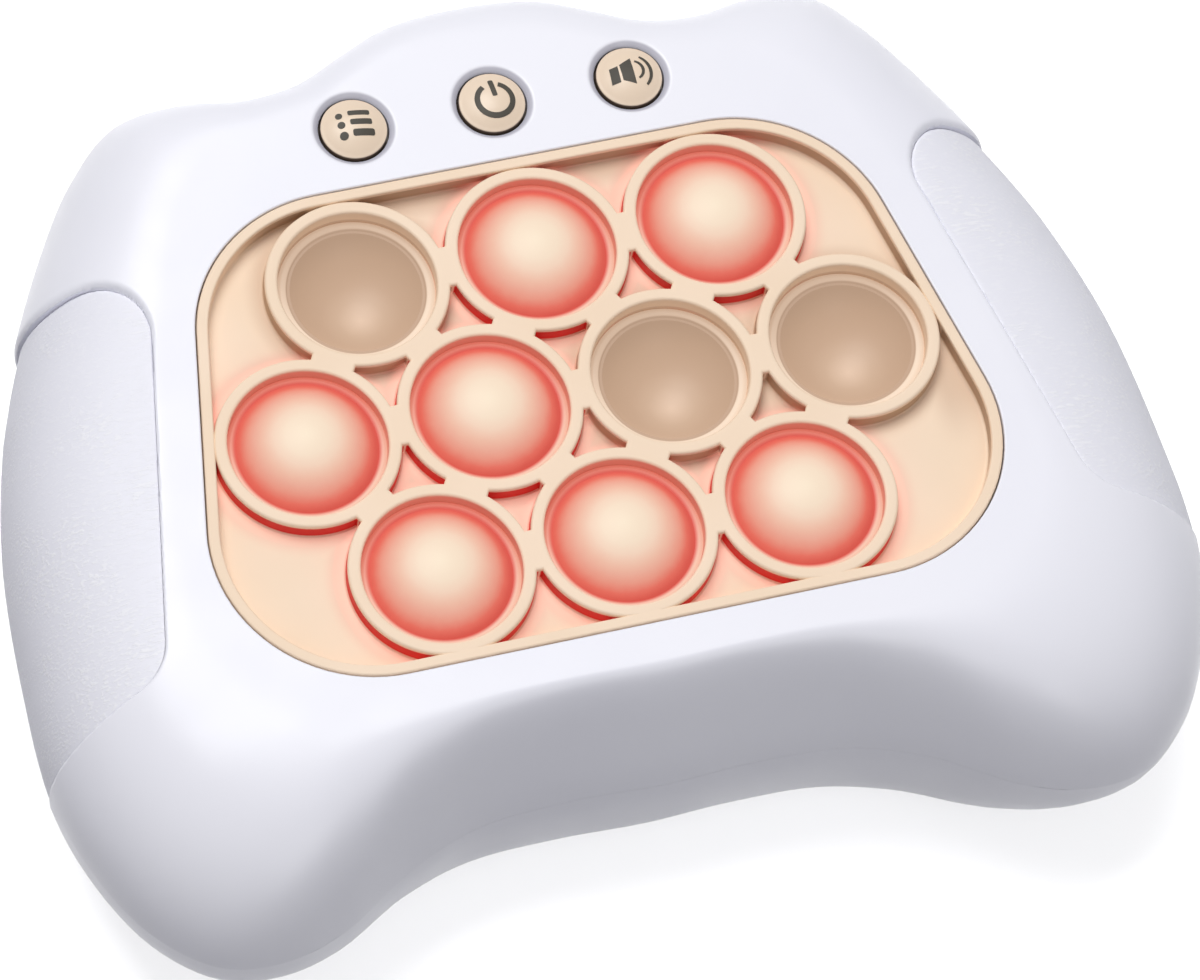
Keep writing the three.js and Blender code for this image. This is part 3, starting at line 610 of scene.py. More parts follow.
def case_body(name, columns, base_rows, crown_rows, depth, dense=False):
    """The whole case as one closed solid, its skin moved in by depth: a length or a function."""
    rows = base_rows + crown_rows + 2
    row_marks = (0, 1, 1 + base_rows, 1 + base_rows + crown_rows, rows)
    body = flat_grid(name, columns, rows)

    def lay(shares, depth_there):
        level = np.interp(shares[:, 1] * rows, row_marks, (-1, 0, 1, 2, 3))
        return eased_skin(shares[:, 0], level, np.zeros(len(shares)) + depth_there)

    if dense:
        for band, cuts in grip_edge_bands:
            open_chosen(body, near_grip_edge(body, lay, band), faces=True)
            bpy.ops.mesh.subdivide(number_cuts=cuts)
            bpy.ops.object.mode_set(mode="OBJECT")
    shares = points_of(body)
    sunk = depth(lay(shares, 0)) if callable(depth) else depth
    lay_points(body, lay(shares, sunk))
    close_up(body)
    return body


def coarse_body(name, depth):
    return case_body(name, *coarse_skin, depth)


# Window and other openings

def window_outline(reach):
    lean = math.atan2(window_front_half_width - window_back_half_width,
                      window_back_y - window_front_y)
    back_x = window_back_half_width + reach * math.tan(math.pi / 4 - lean / 2)
    front_x = window_front_half_width + reach / math.tan(math.pi / 4 - lean / 2)
    radius = window_corner_radius + reach
    return rounded_outline([
        (-back_x, window_back_y + reach, radius),
        (back_x, window_back_y + reach, radius),
        (front_x, window_front_y - reach, radius),
        (-front_x, window_front_y - reach, radius),
    ], steps=24)


def flared(reach, low, top, lip, foot=0.0):
    """Profile of a cutter that leaves a rounded edge at the top, and a fillet at the foot."""
    start = rounded_edge(reach, low, foot, out=1, up=-1)[::-1] if foot else [(reach, low)]
    flare = [(reach + lip * (1 - math.cos(t)), top - lip + lip * math.sin(t))
             for t in quarter_turn()]
    return start + flare + [(reach + lip, top + overrun)]


def bored_from_below(cover, x, y, radius, depth, sides):
    """Cuts a round hole up into the base, with an eased mouth."""
    cutter = turned("bore", [(0, -overrun), (radius + mouth_round, -overrun),
                             (radius + mouth_round, 0), (radius, mouth_round),
                             (radius, depth), (0, depth)], sides, x, y)
    return combine(cover, cutter, "DIFFERENCE")


# Finishing

def finish(piece, name, body, material, nodes=(), even=False):
    piece.name = name
    piece.data.name = name
    piece.data.materials.clear()
    piece.data.materials.append(material)
    take(piece)
    bpy.ops.object.shade_smooth_by_angle(angle=math.radians(smooth_angle))
    if even:
        weighting = piece.modifiers.new("even", "WEIGHTED_NORMAL")
        weighting.keep_sharp = True
        bpy.ops.object.modifier_apply(modifier=weighting.name)
    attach(piece, body)
    if nodes:
        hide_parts(*nodes)
    return piece


# Materials

def colour(hex_code):
    """Scene colour of a display colour."""
    parts = [(hex_code >> shift & 255) / 255 for shift in (16, 8, 0)]
    return tuple(p / 12.92 if p <= 0.04045 else ((p + 0.055) / 1.055) ** 2.4 for p in parts) + (1,)


class Finish:
    """A material and its nodes, wired by short calls."""

    def __init__(self, name, roughness, metallic=0.0, specular=0.5):
        self.material = bpy.data.materials.new(name)
        self.material.use_nodes = True
        self.nodes = self.material.node_tree.nodes
        self.links = self.material.node_tree.links
        self.shader = self.nodes["Principled BSDF"]
        self.shader.inputs["Roughness"].default_value = roughness
        self.shader.inputs["Metallic"].default_value = metallic
        self.shader.inputs["Specular IOR Level"].default_value = specular
        self.place = self.add("ShaderNodeTexCoord").outputs["Object"]

    def add(self, kind, settings=None, **inputs):
        node = self.nodes.new(kind)
        for key, value in (settings or {}).items():
            setattr(node, key, value)
        for key, value in inputs.items():
            self.feed(node.inputs[key.replace("_", " ")], value)
        return node

    def feed(self, socket, value):
        if isinstance(value, bpy.types.NodeSocket):
            self.links.new(value, socket)
        else:
            socket.default_value = value

    def noise(self, scale, stretch=(1, 1, 1), detail=2.0, roughness=0.5):
        mapping = self.add("ShaderNodeMapping", Vector=self.place)
        mapping.inputs["Scale"].default_value = stretch
        node = self.add("ShaderNodeTexNoise", Vector=mapping.outputs[0])
        node.inputs["Scale"].default_value = scale
        node.inputs["Detail"].default_value = detail
        node.inputs["Roughness"].default_value = roughness
        return node.outputs["Fac"]

    def ramp(self, value, stops):
        node = self.add("ShaderNodeValToRGB")
        self.feed(node.inputs["Fac"], value)
        band = node.color_ramp
        while len(band.elements) < len(stops):
            band.elements.new(0.5)
        for element, (position, shade) in zip(band.elements, stops):
            element.position = position
            element.color = shade
        return node.outputs["Color"]

    def mix(self, share, first, second, blend="MIX"):
        node = self.add("ShaderNodeMix", {"data_type": "RGBA", "blend_type": blend})
        self.feed(node.inputs[0], share)
        self.feed(node.inputs[6], first)
        self.feed(node.inputs[7], second)
        return node.outputs[2]

    def math(self, operation, first, second=0.0, third=0.0):
        node = self.add("ShaderNodeMath", {"operation": operation})
        self.feed(node.inputs[0], first)
        self.feed(node.inputs[1], second)
        self.feed(node.inputs[2], third)
        return node.outputs[0]

    def between(self, value, low, high, to_low=0.0, to_high=1.0):
        """Goes smoothly from to_low to to_high as the value goes from low to high."""
        node = self.add("ShaderNodeMapRange", {"interpolation_type": "SMOOTHSTEP"})
        for key, number in (("Value", value), ("From Min", low), ("From Max", high),
                            ("To Min", to_low), ("To Max", to_high)):
            self.feed(node.inputs[key], number)
        return node.outputs[0]

    def nearest(self, places):
        """How far a place is, in plan, from the nearest of the given ones."""
        flat = self.add("ShaderNodeVectorMath", {"operation": "MULTIPLY"})
        self.feed(flat.inputs[0], self.place)
        flat.inputs[1].default_value = (1, 1, 0)
        reach = None
        for x, y in places:
            apart = self.add("ShaderNodeVectorMath", {"operation": "DISTANCE"})
            self.feed(apart.inputs[0], flat.outputs[0])
            apart.inputs[1].default_value = (x, y, 0)
            there = apart.outputs["Value"]
            reach = there if reach is None else self.math("MINIMUM", reach, there)
        return reach

    def height(self):
        return self.add("ShaderNodeSeparateXYZ", Vector=self.place).outputs["Z"]

    def both(self, first, second):
        return self.math("MULTIPLY", first, second)

    def paint(self, shade):
        self.feed(self.shader.inputs["Base Color"], shade)

    def shine(self, shade, strength):
        self.feed(self.shader.inputs["Emission Color"], shade)
        self.shader.inputs["Emission Strength"].default_value = strength

    def relief(self, height, strength, distance):
        bump = self.add("ShaderNodeBump")
        self.feed(bump.inputs["Height"], height)
        bump.inputs["Strength"].default_value = strength
        bump.inputs["Distance"].default_value = distance
        self.feed(self.shader.inputs["Normal"], bump.outputs[0])

    def uneven_gloss(self, value, low, high):
        self.feed(self.shader.inputs["Roughness"], self.between(value, 0.3, 0.7, low, high))


def white_shell_finish(wells):
    """Satin white moulding with a very fine spark-eroded grain and a breath of cloudiness,
    with painted shade that makes it greyer in the button wells."""
    shell = Finish("white_shell", 0.3)
    clouds = shell.between(shell.noise(22, detail=1), 0.2, 0.8)
    shade = shell.mix(clouds, colour(0xF5F5FD), colour(0xF8F8FF))
    # Painted shade: the shell is greyed inside each button's well.
    painted_well_shade = shell.both(shell.between(shell.height(), ceiling, ceiling + well_shade_rise),
                         shell.between(shell.nearest(wells), button_sink_radius,
                                       1.07 * button_sink_radius, 1, 0))
    shell.paint(shell.mix(painted_well_shade, shade, colour(0xCDCDD9)))
    shell.relief(shell.noise(2600, detail=1), 0.05, 0.00003)
    shell.uneven_gloss(shell.noise(90), 0.28, 0.36)
    return shell.material


def grip_finish():
    """Matt panel with faint short strokes moulded in, denser in some patches."""
    panel = Finish("grip_panel", 0.5, specular=0.4)
    strokes = panel.noise(1, stretch=(480, 2300, 2300), detail=3)
    patches = panel.between(panel.noise(110, detail=1), 0.4, 0.65, 0.3, 1)
    marks = panel.math("MULTIPLY", panel.between(strokes, 0.48, 0.66), patches)
    panel.paint(panel.mix(marks, colour(0xF3F3FB), colour(0xFAFAFF)))
    panel.relief(marks, 0.36, 0.00012)
    panel.uneven_gloss(strokes, 0.44, 0.58)
    return panel.material


def silicone_finish(lit, unlit):
    """Soft matt rubber with painted red light, pinker and redder round the bubbles that are lit from
    below, and painted shade, browner round the others, under the back rim and on the right."""
    sheet = Finish("peach_sheet", 0.5, specular=0.3)
    shade = sheet.mix(sheet.between(sheet.noise(45, detail=2), 0.25, 0.75),
                      colour(0xFBE2C6), colour(0xFFE7CD))
    height = sheet.height()
    low = sheet.between(height, floor_top + wall_foot, floor_top + 2 * wall_foot, 1, 0)
    wall = sheet.both(
        sheet.between(height, *(floor_top + rise for rise in wall_tint_rise)),
        sheet.between(height, *(case_height - drop for drop in wall_tint_drop), 1, 0))
    lit_reach = sheet.nearest(lit)
    unlit_reach = sheet.nearest(unlit)
    plan = sheet.add("ShaderNodeSeparateXYZ", Vector=sheet.place)
    # Painted shade on the floor: near the window's back rim, on the right, and round the pressed bubbles.
    back = sheet.between(plan.outputs["Y"], *(window_back_y - inset for inset in back_shade_inset),
                         0, 0.6)
    right = sheet.both(sheet.between(plan.outputs["X"], *right_shade_x, 0, 0.5),
                       sheet.between(plan.outputs["Y"], *right_shade_y))
    painted_floor_shade = sheet.between(unlit_reach, ring_outer_radius, 1.25 * ring_outer_radius, 0.5, 0)
    painted_floor_shade = sheet.math("MAXIMUM", painted_floor_shade, sheet.math("MAXIMUM", back, right))
    shade = sheet.mix(sheet.both(low, painted_floor_shade), shade, colour(0xD0AE92))
    beyond_rings = sheet.between(sheet.math("MINIMUM", lit_reach, unlit_reach), *past_the_rings)
    # Painted shade on the rim's inner wall, growing towards the back and the right.
    lean = sheet.math("MULTIPLY_ADD", plan.outputs["X"], rim_shade_lean, plan.outputs["Y"])
    rim_wall_shade = sheet.both(sheet.both(wall, beyond_rings),
                          sheet.between(lean, *rim_shade_reach, 0, 0.9))
    shade = sheet.mix(rim_wall_shade, shade, colour(0xB99A7E))
    # Painted red light from the lit bubbles on the floor round them.
    glow = sheet.between(lit_reach, ring_outer_radius, 1.28 * ring_outer_radius, 0.6, 0)
    shade = sheet.mix(sheet.both(low, glow), shade, colour(0xF8B8A4))
    # Painted light and shade on the rings' outer walls: red light where the bubble is lit, brown shade
    # where it is pressed.
    for reach, painted_wall_tone in ((lit_reach, 0xE22C28), (unlit_reach, 0xC4A486)):
        band = sheet.both(sheet.between(reach, *ring_outside_start),
                          sheet.between(reach, *ring_outside_end, 1, 0))
        shade = sheet.mix(sheet.both(band, wall), shade, colour(painted_wall_tone))
    # Painted red light on the upper inner wall of the lit rings.
    inner = sheet.both(
        sheet.between(lit_reach, *ring_inside_band, 1, 0),
        sheet.between(height, *(case_height - drop for drop in lip_tint_drop), 1, 0))
    shade = sheet.mix(inner, shade, colour(0xF2B8A3))
    sheet.paint(shade)
    # A faint painted red glow given off by the floor just outside the lit rings, with no lamp behind it.
    painted_red_spill = sheet.both(sheet.between(lit_reach, 1.02 * ring_outer_radius, 1.03 * ring_outer_radius),
                       sheet.between(lit_reach, 1.03 * ring_outer_radius, 1.16 * ring_outer_radius, 1, 0))
    sheet.shine(sheet.mix(sheet.both(low, painted_red_spill), (0, 0, 0, 1), (0.22, 0.13, 0.1, 1)), 1.0)
    sheet.relief(sheet.noise(1900, detail=1), 0.05, 0.00003)
    sheet.uneven_gloss(sheet.noise(80), 0.46, 0.56)
    return sheet.material


def cap_finish():
    """Peach plastic like the sheet's colour, with painted shade where the cap's side drops into its well.
    """
    cap = Finish("button_plastic", 0.36)
    shade = cap.mix(cap.noise(70), colour(0xF0D9BF), colour(0xF6E1C9))
    # Painted shade: the cap's side turns dark brown just below its edge.
    side = cap.between(cap.height(), *(button_edge - drop for drop in cap_shade_drop), 1, 0)
    cap.paint(cap.mix(side, shade, colour(0x5A4838)))
    cap.relief(cap.noise(1500), 0.08, 0.00004)
    cap.uneven_gloss(cap.noise(120), 0.32, 0.44)
    return cap.material


def dome_finish(name, stops, centre, edge, blur, near_lip, far_lip, glow):
    """Bubble colours by distance from a place near the crown, on the bubble's own map, and the
    lip's colours from its near side to its far side, all standing in for light and shade: the
    place off the crown is a painted highlight and the lip is painted darker on its far side. The
    glow is the share of the colour that is given off as light, a painted glow with no lamp."""
    dome = Finish(name, 0.45, specular=0.3)
    chart = dome.add("ShaderNodeUVMap").outputs[0]

    def distance_from(place):
        apart = dome.add("ShaderNodeVectorMath", {"operation": "DISTANCE"})
        dome.feed(apart.inputs[0], chart)
        apart.inputs[1].default_value = (0.5 + place[0] / 2, 0.5 + place[1] / 2, 0)
        return dome.math("MULTIPLY", apart.outputs["Value"], 2.0)

    mottle = dome.math("MULTIPLY_ADD", dome.noise(600, detail=2), 0.03, -0.015)
    shade = dome.ramp(dome.math("ADD", distance_from(centre), mottle), stops)
    high = dome.add("ShaderNodeSeparateXYZ", Vector=chart).outputs["Y"]
    lip = dome.mix(dome.between(high, 0.15, 0.85), colour(near_lip), colour(far_lip))
    shade = dome.mix(dome.between(distance_from((0, 0)), edge - 0.005, edge + blur), shade, lip)
    # Painted glow: the base colour is darkened by the glow share and that share is given off, which
    # flattens the shading.
    dome.paint(dome.mix(glow, shade, (0, 0, 0, 1)))
    dome.shine(shade, glow)
    dome.relief(dome.noise(1900, detail=1), 0.05, 0.00003)
    return dome.material


def moulded(name, low, high, roughness, grain=1500, strength=0.1):
    """Plain moulded plastic with two close shades, fine grain and uneven gloss."""
    plastic = Finish(name, roughness)
    plastic.paint(plastic.ramp(plastic.noise(70, detail=3), [(0.35, colour(low)), (0.65, colour(high))]))
    plastic.relief(plastic.noise(grain, detail=2), strength, 0.00004)
    plastic.uneven_gloss(plastic.noise(120), roughness - 0.06, roughness + 0.08)
    return plastic.material


def steel_finish():
    metal = Finish("steel", 0.3, metallic=1.0)
    brushed = metal.noise(1, stretch=(300, 6000, 300), detail=2)
    metal.paint(metal.ramp(brushed, [(0.3, colour(0xA8A8AD)), (0.7, colour(0xCFCFD3))]))
    metal.relief(brushed, 0.08, 0.00002)
    metal.uneven_gloss(brushed, 0.25, 0.42)
    return metal.material


def board_finish():
    """Green lacquer over fine copper tracks."""
    board = Finish("board_green", 0.35)
    tracks = board.add("ShaderNodeTexBrick", {"offset": 0.5})
    board.feed(tracks.inputs["Vector"], board.place)
    tracks.inputs["Scale"].default_value = 420
    tracks.inputs["Mortar Size"].default_value = 0.03
    tracks.inputs["Color1"].default_value = colour(0x1C6238)
    tracks.inputs["Color2"].default_value = colour(0x1F6B3D)
    tracks.inputs["Mortar"].default_value = colour(0x3C8A55)
    lacquer = board.ramp(board.noise(150, detail=3), [(0.3, colour(0xD8D8D8)), (0.7, colour(0xFFFFFF))])
    board.paint(board.mix(1.0, tracks.outputs["Color"], lacquer, "MULTIPLY"))
    board.relief(tracks.outputs["Fac"], 0.15, 0.00003)
    board.uneven_gloss(board.noise(200), 0.28, 0.42)
    return board.material


def jacket_finish():
    """Printed cell sleeve with a paler band round one end."""
    sleeve = Finish("cell_jacket", 0.35, specular=0.6)
    along = sleeve.add("ShaderNodeSeparateXYZ", Vector=sleeve.place).outputs["Y"]
    band = sleeve.between(along, *cell_band_y)
    ground = sleeve.ramp(sleeve.noise(90, detail=3), [(0.3, colour(0x39435A)), (0.7, colour(0x434E66))])
    sleeve.paint(sleeve.mix(band, ground, colour(0xB9BDC6)))
    sleeve.relief(sleeve.noise(900), 0.06, 0.00004)
    sleeve.uneven_gloss(sleeve.noise(90), 0.28, 0.42)
    return sleeve.material


bubble_places = {number: middle_of(f"bubble_{number}") for number in bubble_numbers}
lit_places = [place for number, place in bubble_places.items() if number not in pressed_bubbles]
unlit_places = [bubble_places[number] for number in pressed_bubbles]
neighbours = [
    (bubble_places[a], bubble_places[b])
    for a in bubble_numbers for b in bubble_numbers
    if a < b and math.dist(bubble_places[a], bubble_places[b]) < 1.1 * bubble_pitch
]

white_shell = white_shell_finish([middle_of(name) for name in button_names])
grip_panel = grip_finish()
peach_sheet = silicone_finish(lit_places, unlit_places)
# Lit domes: cream in the middle to red at the edge as painted red light from below, centred a little left
# of the crown as a painted highlight.
lit_dome = dome_finish("lit_dome", [
    (0, colour(0xFBE8CE)), (0.27, colour(0xF9E2C9)), (0.4, colour(0xF8D8C0)), (0.54, colour(0xF4C1A9)),
    (0.63, colour(0xF1B09A)), (0.72, colour(0xEF9B86)), (0.81, colour(0xEA7362)),
    (0.88, colour(0xDF6054)), (1, colour(0xD6584D))],
    (-0.036, 0), dome_radius / ring_inner_radius, 0.06, 0xF8CEB6, 0xE6806E, 0.64)
# Pressed bowls: browns of painted shade, with a lighter painted patch towards the near side where light
# falls.
bowl = dome_finish("unlit_dome", [
    (0, colour(0xE6C8AF)), (0.1, colour(0xDFC1A8)), (0.3, colour(0xD0B197)), (0.5, colour(0xC9A98F)),
    (0.8, colour(0xC4A48A)), (1, colour(0xBD9E85))],
    (0.036, -0.204), bowl_radius / ring_inner_radius, 0.015, 0xF8E0C8, 0xD8BBA2, 0.7)
button_plastic = cap_finish()
print_dark = moulded("print_dark", 0x38342B, 0x403B31, 0.6)
frame_plastic = moulded("frame_plastic", 0xD6D6DC, 0xE0E0E6, 0.55)
dark_plastic = moulded("dark_plastic", 0x1A1A1E, 0x232328, 0.45)
lamp_lens = moulded("lamp_lens", 0xEE5A50, 0xF26A5E, 0.2)
steel = steel_finish()
board_green = board_finish()
cell_jacket = jacket_finish()


# Covers

def recess_cutter(side):
    """What is cut from a cover for one grip panel, which stops at the recess's floor."""
    zone = stacked("grip_zone", lambda grow: grip_outline(grow, side),
                   [(0, grip_foot), (0, case_height + overrun)])
    return combine(zone, coarse_body("grip_floor", grip_depth), "DIFFERENCE")


def case_hollow():
    hollow = coarse_body("case_hollow", case_wall)
    for side in (-1, 1):
        zone = stacked("grip_backing", lambda grow: grip_outline(grow, side),
                       [(case_wall, grip_foot - case_wall), (case_wall, case_height + overrun)])
        combine(zone, coarse_body("grip_backing_floor", grip_depth + case_wall), "DIFFERENCE")
        combine(hollow, zone, "DIFFERENCE")
    return hollow


def grip_pegs(side, radius):
    """The two pegs behind a panel, from half way into it to their tips inside the cover."""
    places = [(grip_back[0] + peg_back_inset[0], grip_back[1] - peg_back_inset[1]),
              (grip_front[0] + peg_front_inset[0], grip_front[1] + peg_front_inset[1])]
    pegs = joined([rod("peg", radius, parting_height, case_height + overrun, side * x, y, small_round_sides)
                   for x, y in places])
    combine(pegs, coarse_body("peg_limit", grip_depth - grip_thickness / 2), "INTERSECT")
    return combine(pegs, coarse_body("peg_tips", grip_depth + peg_length), "DIFFERENCE")


def button_hole_cutter(x, y):
    low = case_height - button_sink_depth
    reach, drop = button_sink_round
    lip = [(button_sink_radius + reach * k, case_height - drop * (1 - k) ** 2)
           for k in (0, 0.2, 0.4, 0.6, 0.8, 1)]
    return turned("button_hole", [(0, ceiling - overrun), (button_hole_radius, ceiling - overrun),
                                  (button_hole_radius, low)] + lip
                  + [(lip[-1][0], case_height + overrun), (0, case_height + overrun)],
                  large_round_sides, x, y)


def add_round_bosses(cover, places, radius, low, limit):
    bosses = joined([rod("boss", radius, low, case_height, x, y) for x, y in places])
    combine(bosses, limit, "INTERSECT")
    return combine(cover, bosses, "UNION")


def top_cover(whole_case, hollow):
    level = parting_height + seam_gap / 2
    cover = copy_of(whole_case, "top_cover_shell")
    cut_level(cover, level, keep_above=True)
    combine(cover, hollow, "DIFFERENCE")
    add_round_bosses(cover, [middle_of(screw) for screw in case_screws], case_boss_radius,
                     level + seat_gap, coarse_body("boss_limit", case_wall / 2))
    add_round_bosses(cover, [middle_of(screw) for screw in board_screws], board_post_radius,
                     floor_under, coarse_body("post_limit", case_wall / 2))
    window = stacked("window", window_outline, flared(0, ceiling - overrun, case_height, window_lip))
    combine(cover, window, "DIFFERENCE")
    for name in button_names:
        combine(cover, button_hole_cutter(*middle_of(name)), "DIFFERENCE")
    for side in (-1, 1):
        combine(cover, recess_cutter(side), "DIFFERENCE")
        combine(cover, grip_pegs(side, peg_radius + seat_gap), "DIFFERENCE")
    for screw in case_screws + board_screws:
        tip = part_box(screw)[1].z + seat_gap
        combine(cover, rod("screw_hole", case_shank_radius, 0, tip, *middle_of(screw), hole_sides),
                "DIFFERENCE")
    return finish(cover, "top_cover_shell", "case", white_shell, ["top_cover"], even=True)


def door_outline(grow):
    width = door_high.x + grow
    shoulder = bay_front - door_lap - grow
    tongue = door_tongue_half_width + grow
    outer = door_corner + grow
    inner = door_corner - grow
    return rounded_outline([
        (-width, door_high.y + grow, outer), (width, door_high.y + grow, outer),
        (width, shoulder, outer), (tongue, shoulder, inner), (tongue, door_low.y - grow, outer),
        (-tongue, door_low.y - grow, outer), (-tongue, shoulder, inner), (-width, shoulder, outer),
    ], steps=6)


def battery_bay():
    """The walls and roof of the cells' compartment, and the block round the door's screw."""
    out_x = bay_half_width + bay_wall
    bay = block("bay", (-out_x, bay_front - bay_wall, 0),
                (out_x, bay_back + bay_wall, bay_ceiling + bay_roof))
    tongue_x = door_tongue_half_width + bay_wall
    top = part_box("battery_door_screw")[1].z + seat_gap + bay_roof
    tongue = block("bay_tongue", (-tongue_x, door_low.y - bay_wall, 0), (tongue_x, bay_front, top))
    return combine(bay, tongue, "UNION")


def speaker_grille():
    places = [(speaker_x, speaker_y)]
    for i in range(speaker_hole_count):
        turn = 2 * math.pi * i / speaker_hole_count
        places.append((speaker_x + speaker_hole_ring * math.cos(turn),
                       speaker_y + speaker_hole_ring * math.sin(turn)))
    return places


def bottom_cover(whole_case, hollow):
    level = parting_height - seam_gap / 2
    cover = copy_of(whole_case, "bottom_cover_shell")
    cut_level(cover, level, keep_above=False)
    combine(cover, hollow, "DIFFERENCE")
    limit = coarse_body("post_limit", case_wall / 2)
    cut_level(limit, level, keep_above=False)
    add_round_bosses(cover, [middle_of(screw) for screw in case_screws], case_post_radius, 0, limit)
    collar_top = case_wall + collar_height
    combine(cover, rod("collar", collar_radius + collar_wall, case_wall / 2, collar_top,
                       speaker_x, speaker_y, medium_round_sides), "UNION")
    combine(cover, rod("collar_inside", collar_radius, case_wall, collar_top + overrun,
                       speaker_x, speaker_y, medium_round_sides), "DIFFERENCE")
    combine(cover, battery_bay(), "UNION")
    combine(cover, block("bay_inside", (-bay_half_width, bay_front, -overrun),
                         (bay_half_width, bay_back, bay_ceiling)), "DIFFERENCE")
    door_seat = door_high.z + seat_gap
    mouth = [(seat_gap + door_edge, -overrun), (seat_gap + door_edge, 0), (seat_gap, door_edge)]
    combine(cover, stacked("door_seat", door_outline, mouth + [(seat_gap, door_seat)]), "DIFFERENCE")
    for x, y in speaker_grille():
        bored_from_below(cover, x, y, speaker_hole_radius, case_wall + overrun / 2, hole_sides)
    for screw in case_screws:
        x, y = middle_of(screw)
        bored_from_below(cover, x, y, head_well_radius, case_screw_seat, round_sides)
        combine(cover, rod("shank_hole", case_shank_radius + screw_clearance, 0,
                           parting_height + overrun, x, y, hole_sides), "DIFFERENCE")
    x, y = middle_of("battery_door_screw")
    combine(cover, rod("door_screw_hole", door_shank_radius, 0,
                       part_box("battery_door_screw")[1].z + seat_gap, x, y, hole_sides), "DIFFERENCE")
    for side in (-1, 1):
        combine(cover, recess_cutter(side), "DIFFERENCE")
    return finish(cover, "bottom_cover_shell", "case", white_shell, ["bottom_cover"],
                  even=True)


def battery_door():
    edge = [(-door_edge * (1 - math.cos(t)), door_low.z + door_edge * (1 - math.sin(t)))
            for t in reversed(quarter_turn())]
    door = stacked("battery_door_panel", door_outline, edge + [(0, door_high.z)])
    x, y = middle_of("battery_door_screw")
    well_radius, well_top = door_screw_well
    well = turned("screw_well", [(0, -overrun), (well_radius + mouth_round, -overrun),
                                 (well_radius + mouth_round, door_low.z),
                                 (well_radius, door_low.z + mouth_round),
                                 (well_radius, well_top), (0, well_top)], round_sides, x, y)
    combine(door, well, "DIFFERENCE")
    combine(door, rod("shank_hole", door_shank_radius + screw_clearance, 0, door_high.z + overrun,
                      x, y, hole_sides), "DIFFERENCE")
    return finish(door, "battery_door_panel", "battery_door", white_shell,
                  ["battery_door"])


def cross_screw(node, body, shank, head_height):
    """A pan-head screw that points up, with a cross in its head and ridges round its shank."""
    low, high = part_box(node)
    x, y = middle_of(node)
    head = half_width_of(node)
    seat = low.z + head_height
    pan = [(head * math.cos(t), low.z + 0.6 * head_height * (1 - math.sin(t)))
           for t in reversed(quarter_turn(5))]
    profile = pan + [(head, seat), (shank, seat)]
    ridge_z = seat + thread_pitch
    while ridge_z + thread_pitch < high.z - shank:
        profile += [(shank - thread_depth, ridge_z), (shank, ridge_z + thread_pitch / 2)]
        ridge_z += thread_pitch
    profile += [(shank - thread_depth, high.z - shank), (0, high.z)]
    screw = turned(node + "_turned", profile, small_round_sides, x, y)
    reach = 0.65 * head
    arm = cross_width / 2
    for long_x, long_y in ((reach, arm), (arm, reach)):
        combine(screw, block("slot", (x - long_x, y - long_y, low.z - overrun),
                             (x + long_x, y + long_y, low.z + cross_depth)), "DIFFERENCE")
    return finish(screw, node + "_turned", body, steel, [node])


def grip_panels():
    skin = case_body("panel_skin", *fine_skin, panel_depth, dense=True)
    for side, node in ((-1, "left_grip"), (1, "right_grip")):
        zone = stacked("panel_zone", lambda grow: grip_outline(grow, side),
                       [(-grip_gap, grip_foot + grip_gap), (-grip_gap, case_height + overrun)])
        name = node + "_panel"
        panel = copy_of(skin, name)
        combine(panel, zone, "INTERSECT")
        combine(panel, coarse_body("panel_back", grip_depth - seat_gap), "DIFFERENCE")
        combine(panel, grip_pegs(side, peg_radius), "UNION")
        finish(panel, name, "case", grip_panel, [node], even=True)
    bpy.data.objects.remove(skin)


# Sheet and bubbles

def ring_solid(x, y):
    foot = [(ring_outer_radius + wall_foot * (1 - math.sin(t)), floor_top + wall_foot * (1 - math.cos(t)))
            for t in quarter_turn()]
    return turned("ring", [(0, floor_under), (foot[0][0], floor_under)] + foot
                  + rounded_edge(ring_outer_radius, case_height, ring_lip) + [(0, case_height)],
                  large_round_sides, x, y)


def web_solid(first, second):
    """The short flat web that fills the gap between two neighbouring rings."""
    web = block("web", (-web_half_width, -web_half_length, floor_under),
                (web_half_width, web_half_length, case_height))
    top_ends = [
        all(web.data.vertices[v].co.z > floor_top for v in edge.vertices)
        and abs(sum(web.data.vertices[v].co.y for v in edge.vertices)) > web_half_length
        for edge in web.data.edges
    ]
    open_chosen(web, top_ends, faces=False)
    bpy.ops.mesh.bevel(offset=ring_lip, segments=4, affect="EDGES")
    bpy.ops.object.mode_set(mode="OBJECT")
    web.location = ((first[0] + second[0]) / 2, (first[1] + second[1]) / 2, 0)
    web.rotation_euler.z = math.atan2(second[1] - first[1], second[0] - first[0])
    settle(web)
    return web


def bubble_sheet():
    flange_top = ceiling - seat_gap
    sheet = stacked("bubble_sheet_skin", window_outline, [
        (flange_reach, floor_under), (flange_reach, flange_top), (-rim_gap, flange_top),
    ] + rounded_edge(-rim_gap, case_height, rim_lip))
    field = stacked("field", window_outline,
                    flared(-seat_gap - rim_width, floor_top, case_height, rim_lip, wall_foot))
    combine(sheet, field, "DIFFERENCE")
    for place in bubble_places.values():
        combine(sheet, ring_solid(*place), "UNION")
    for first, second in neighbours:
        combine(sheet, web_solid(first, second), "UNION")
    for x, y in bubble_places.values():
        wall = flared(ring_inner_radius, floor_top, case_height, ring_lip)
        recess = turned("ring_recess", [(0, floor_top)] + wall + [(0, case_height + overrun)],
                        large_round_sides, x, y)
        combine(sheet, recess, "DIFFERENCE")
        combine(sheet, rod("bubble_hole", bubble_hole_radius, floor_under - overrun,
                           case_height, x, y, large_round_sides), "DIFFERENCE")
    return finish(sheet, "bubble_sheet_skin", "case", peach_sheet,
                  ["bubble_sheet"], even=True)


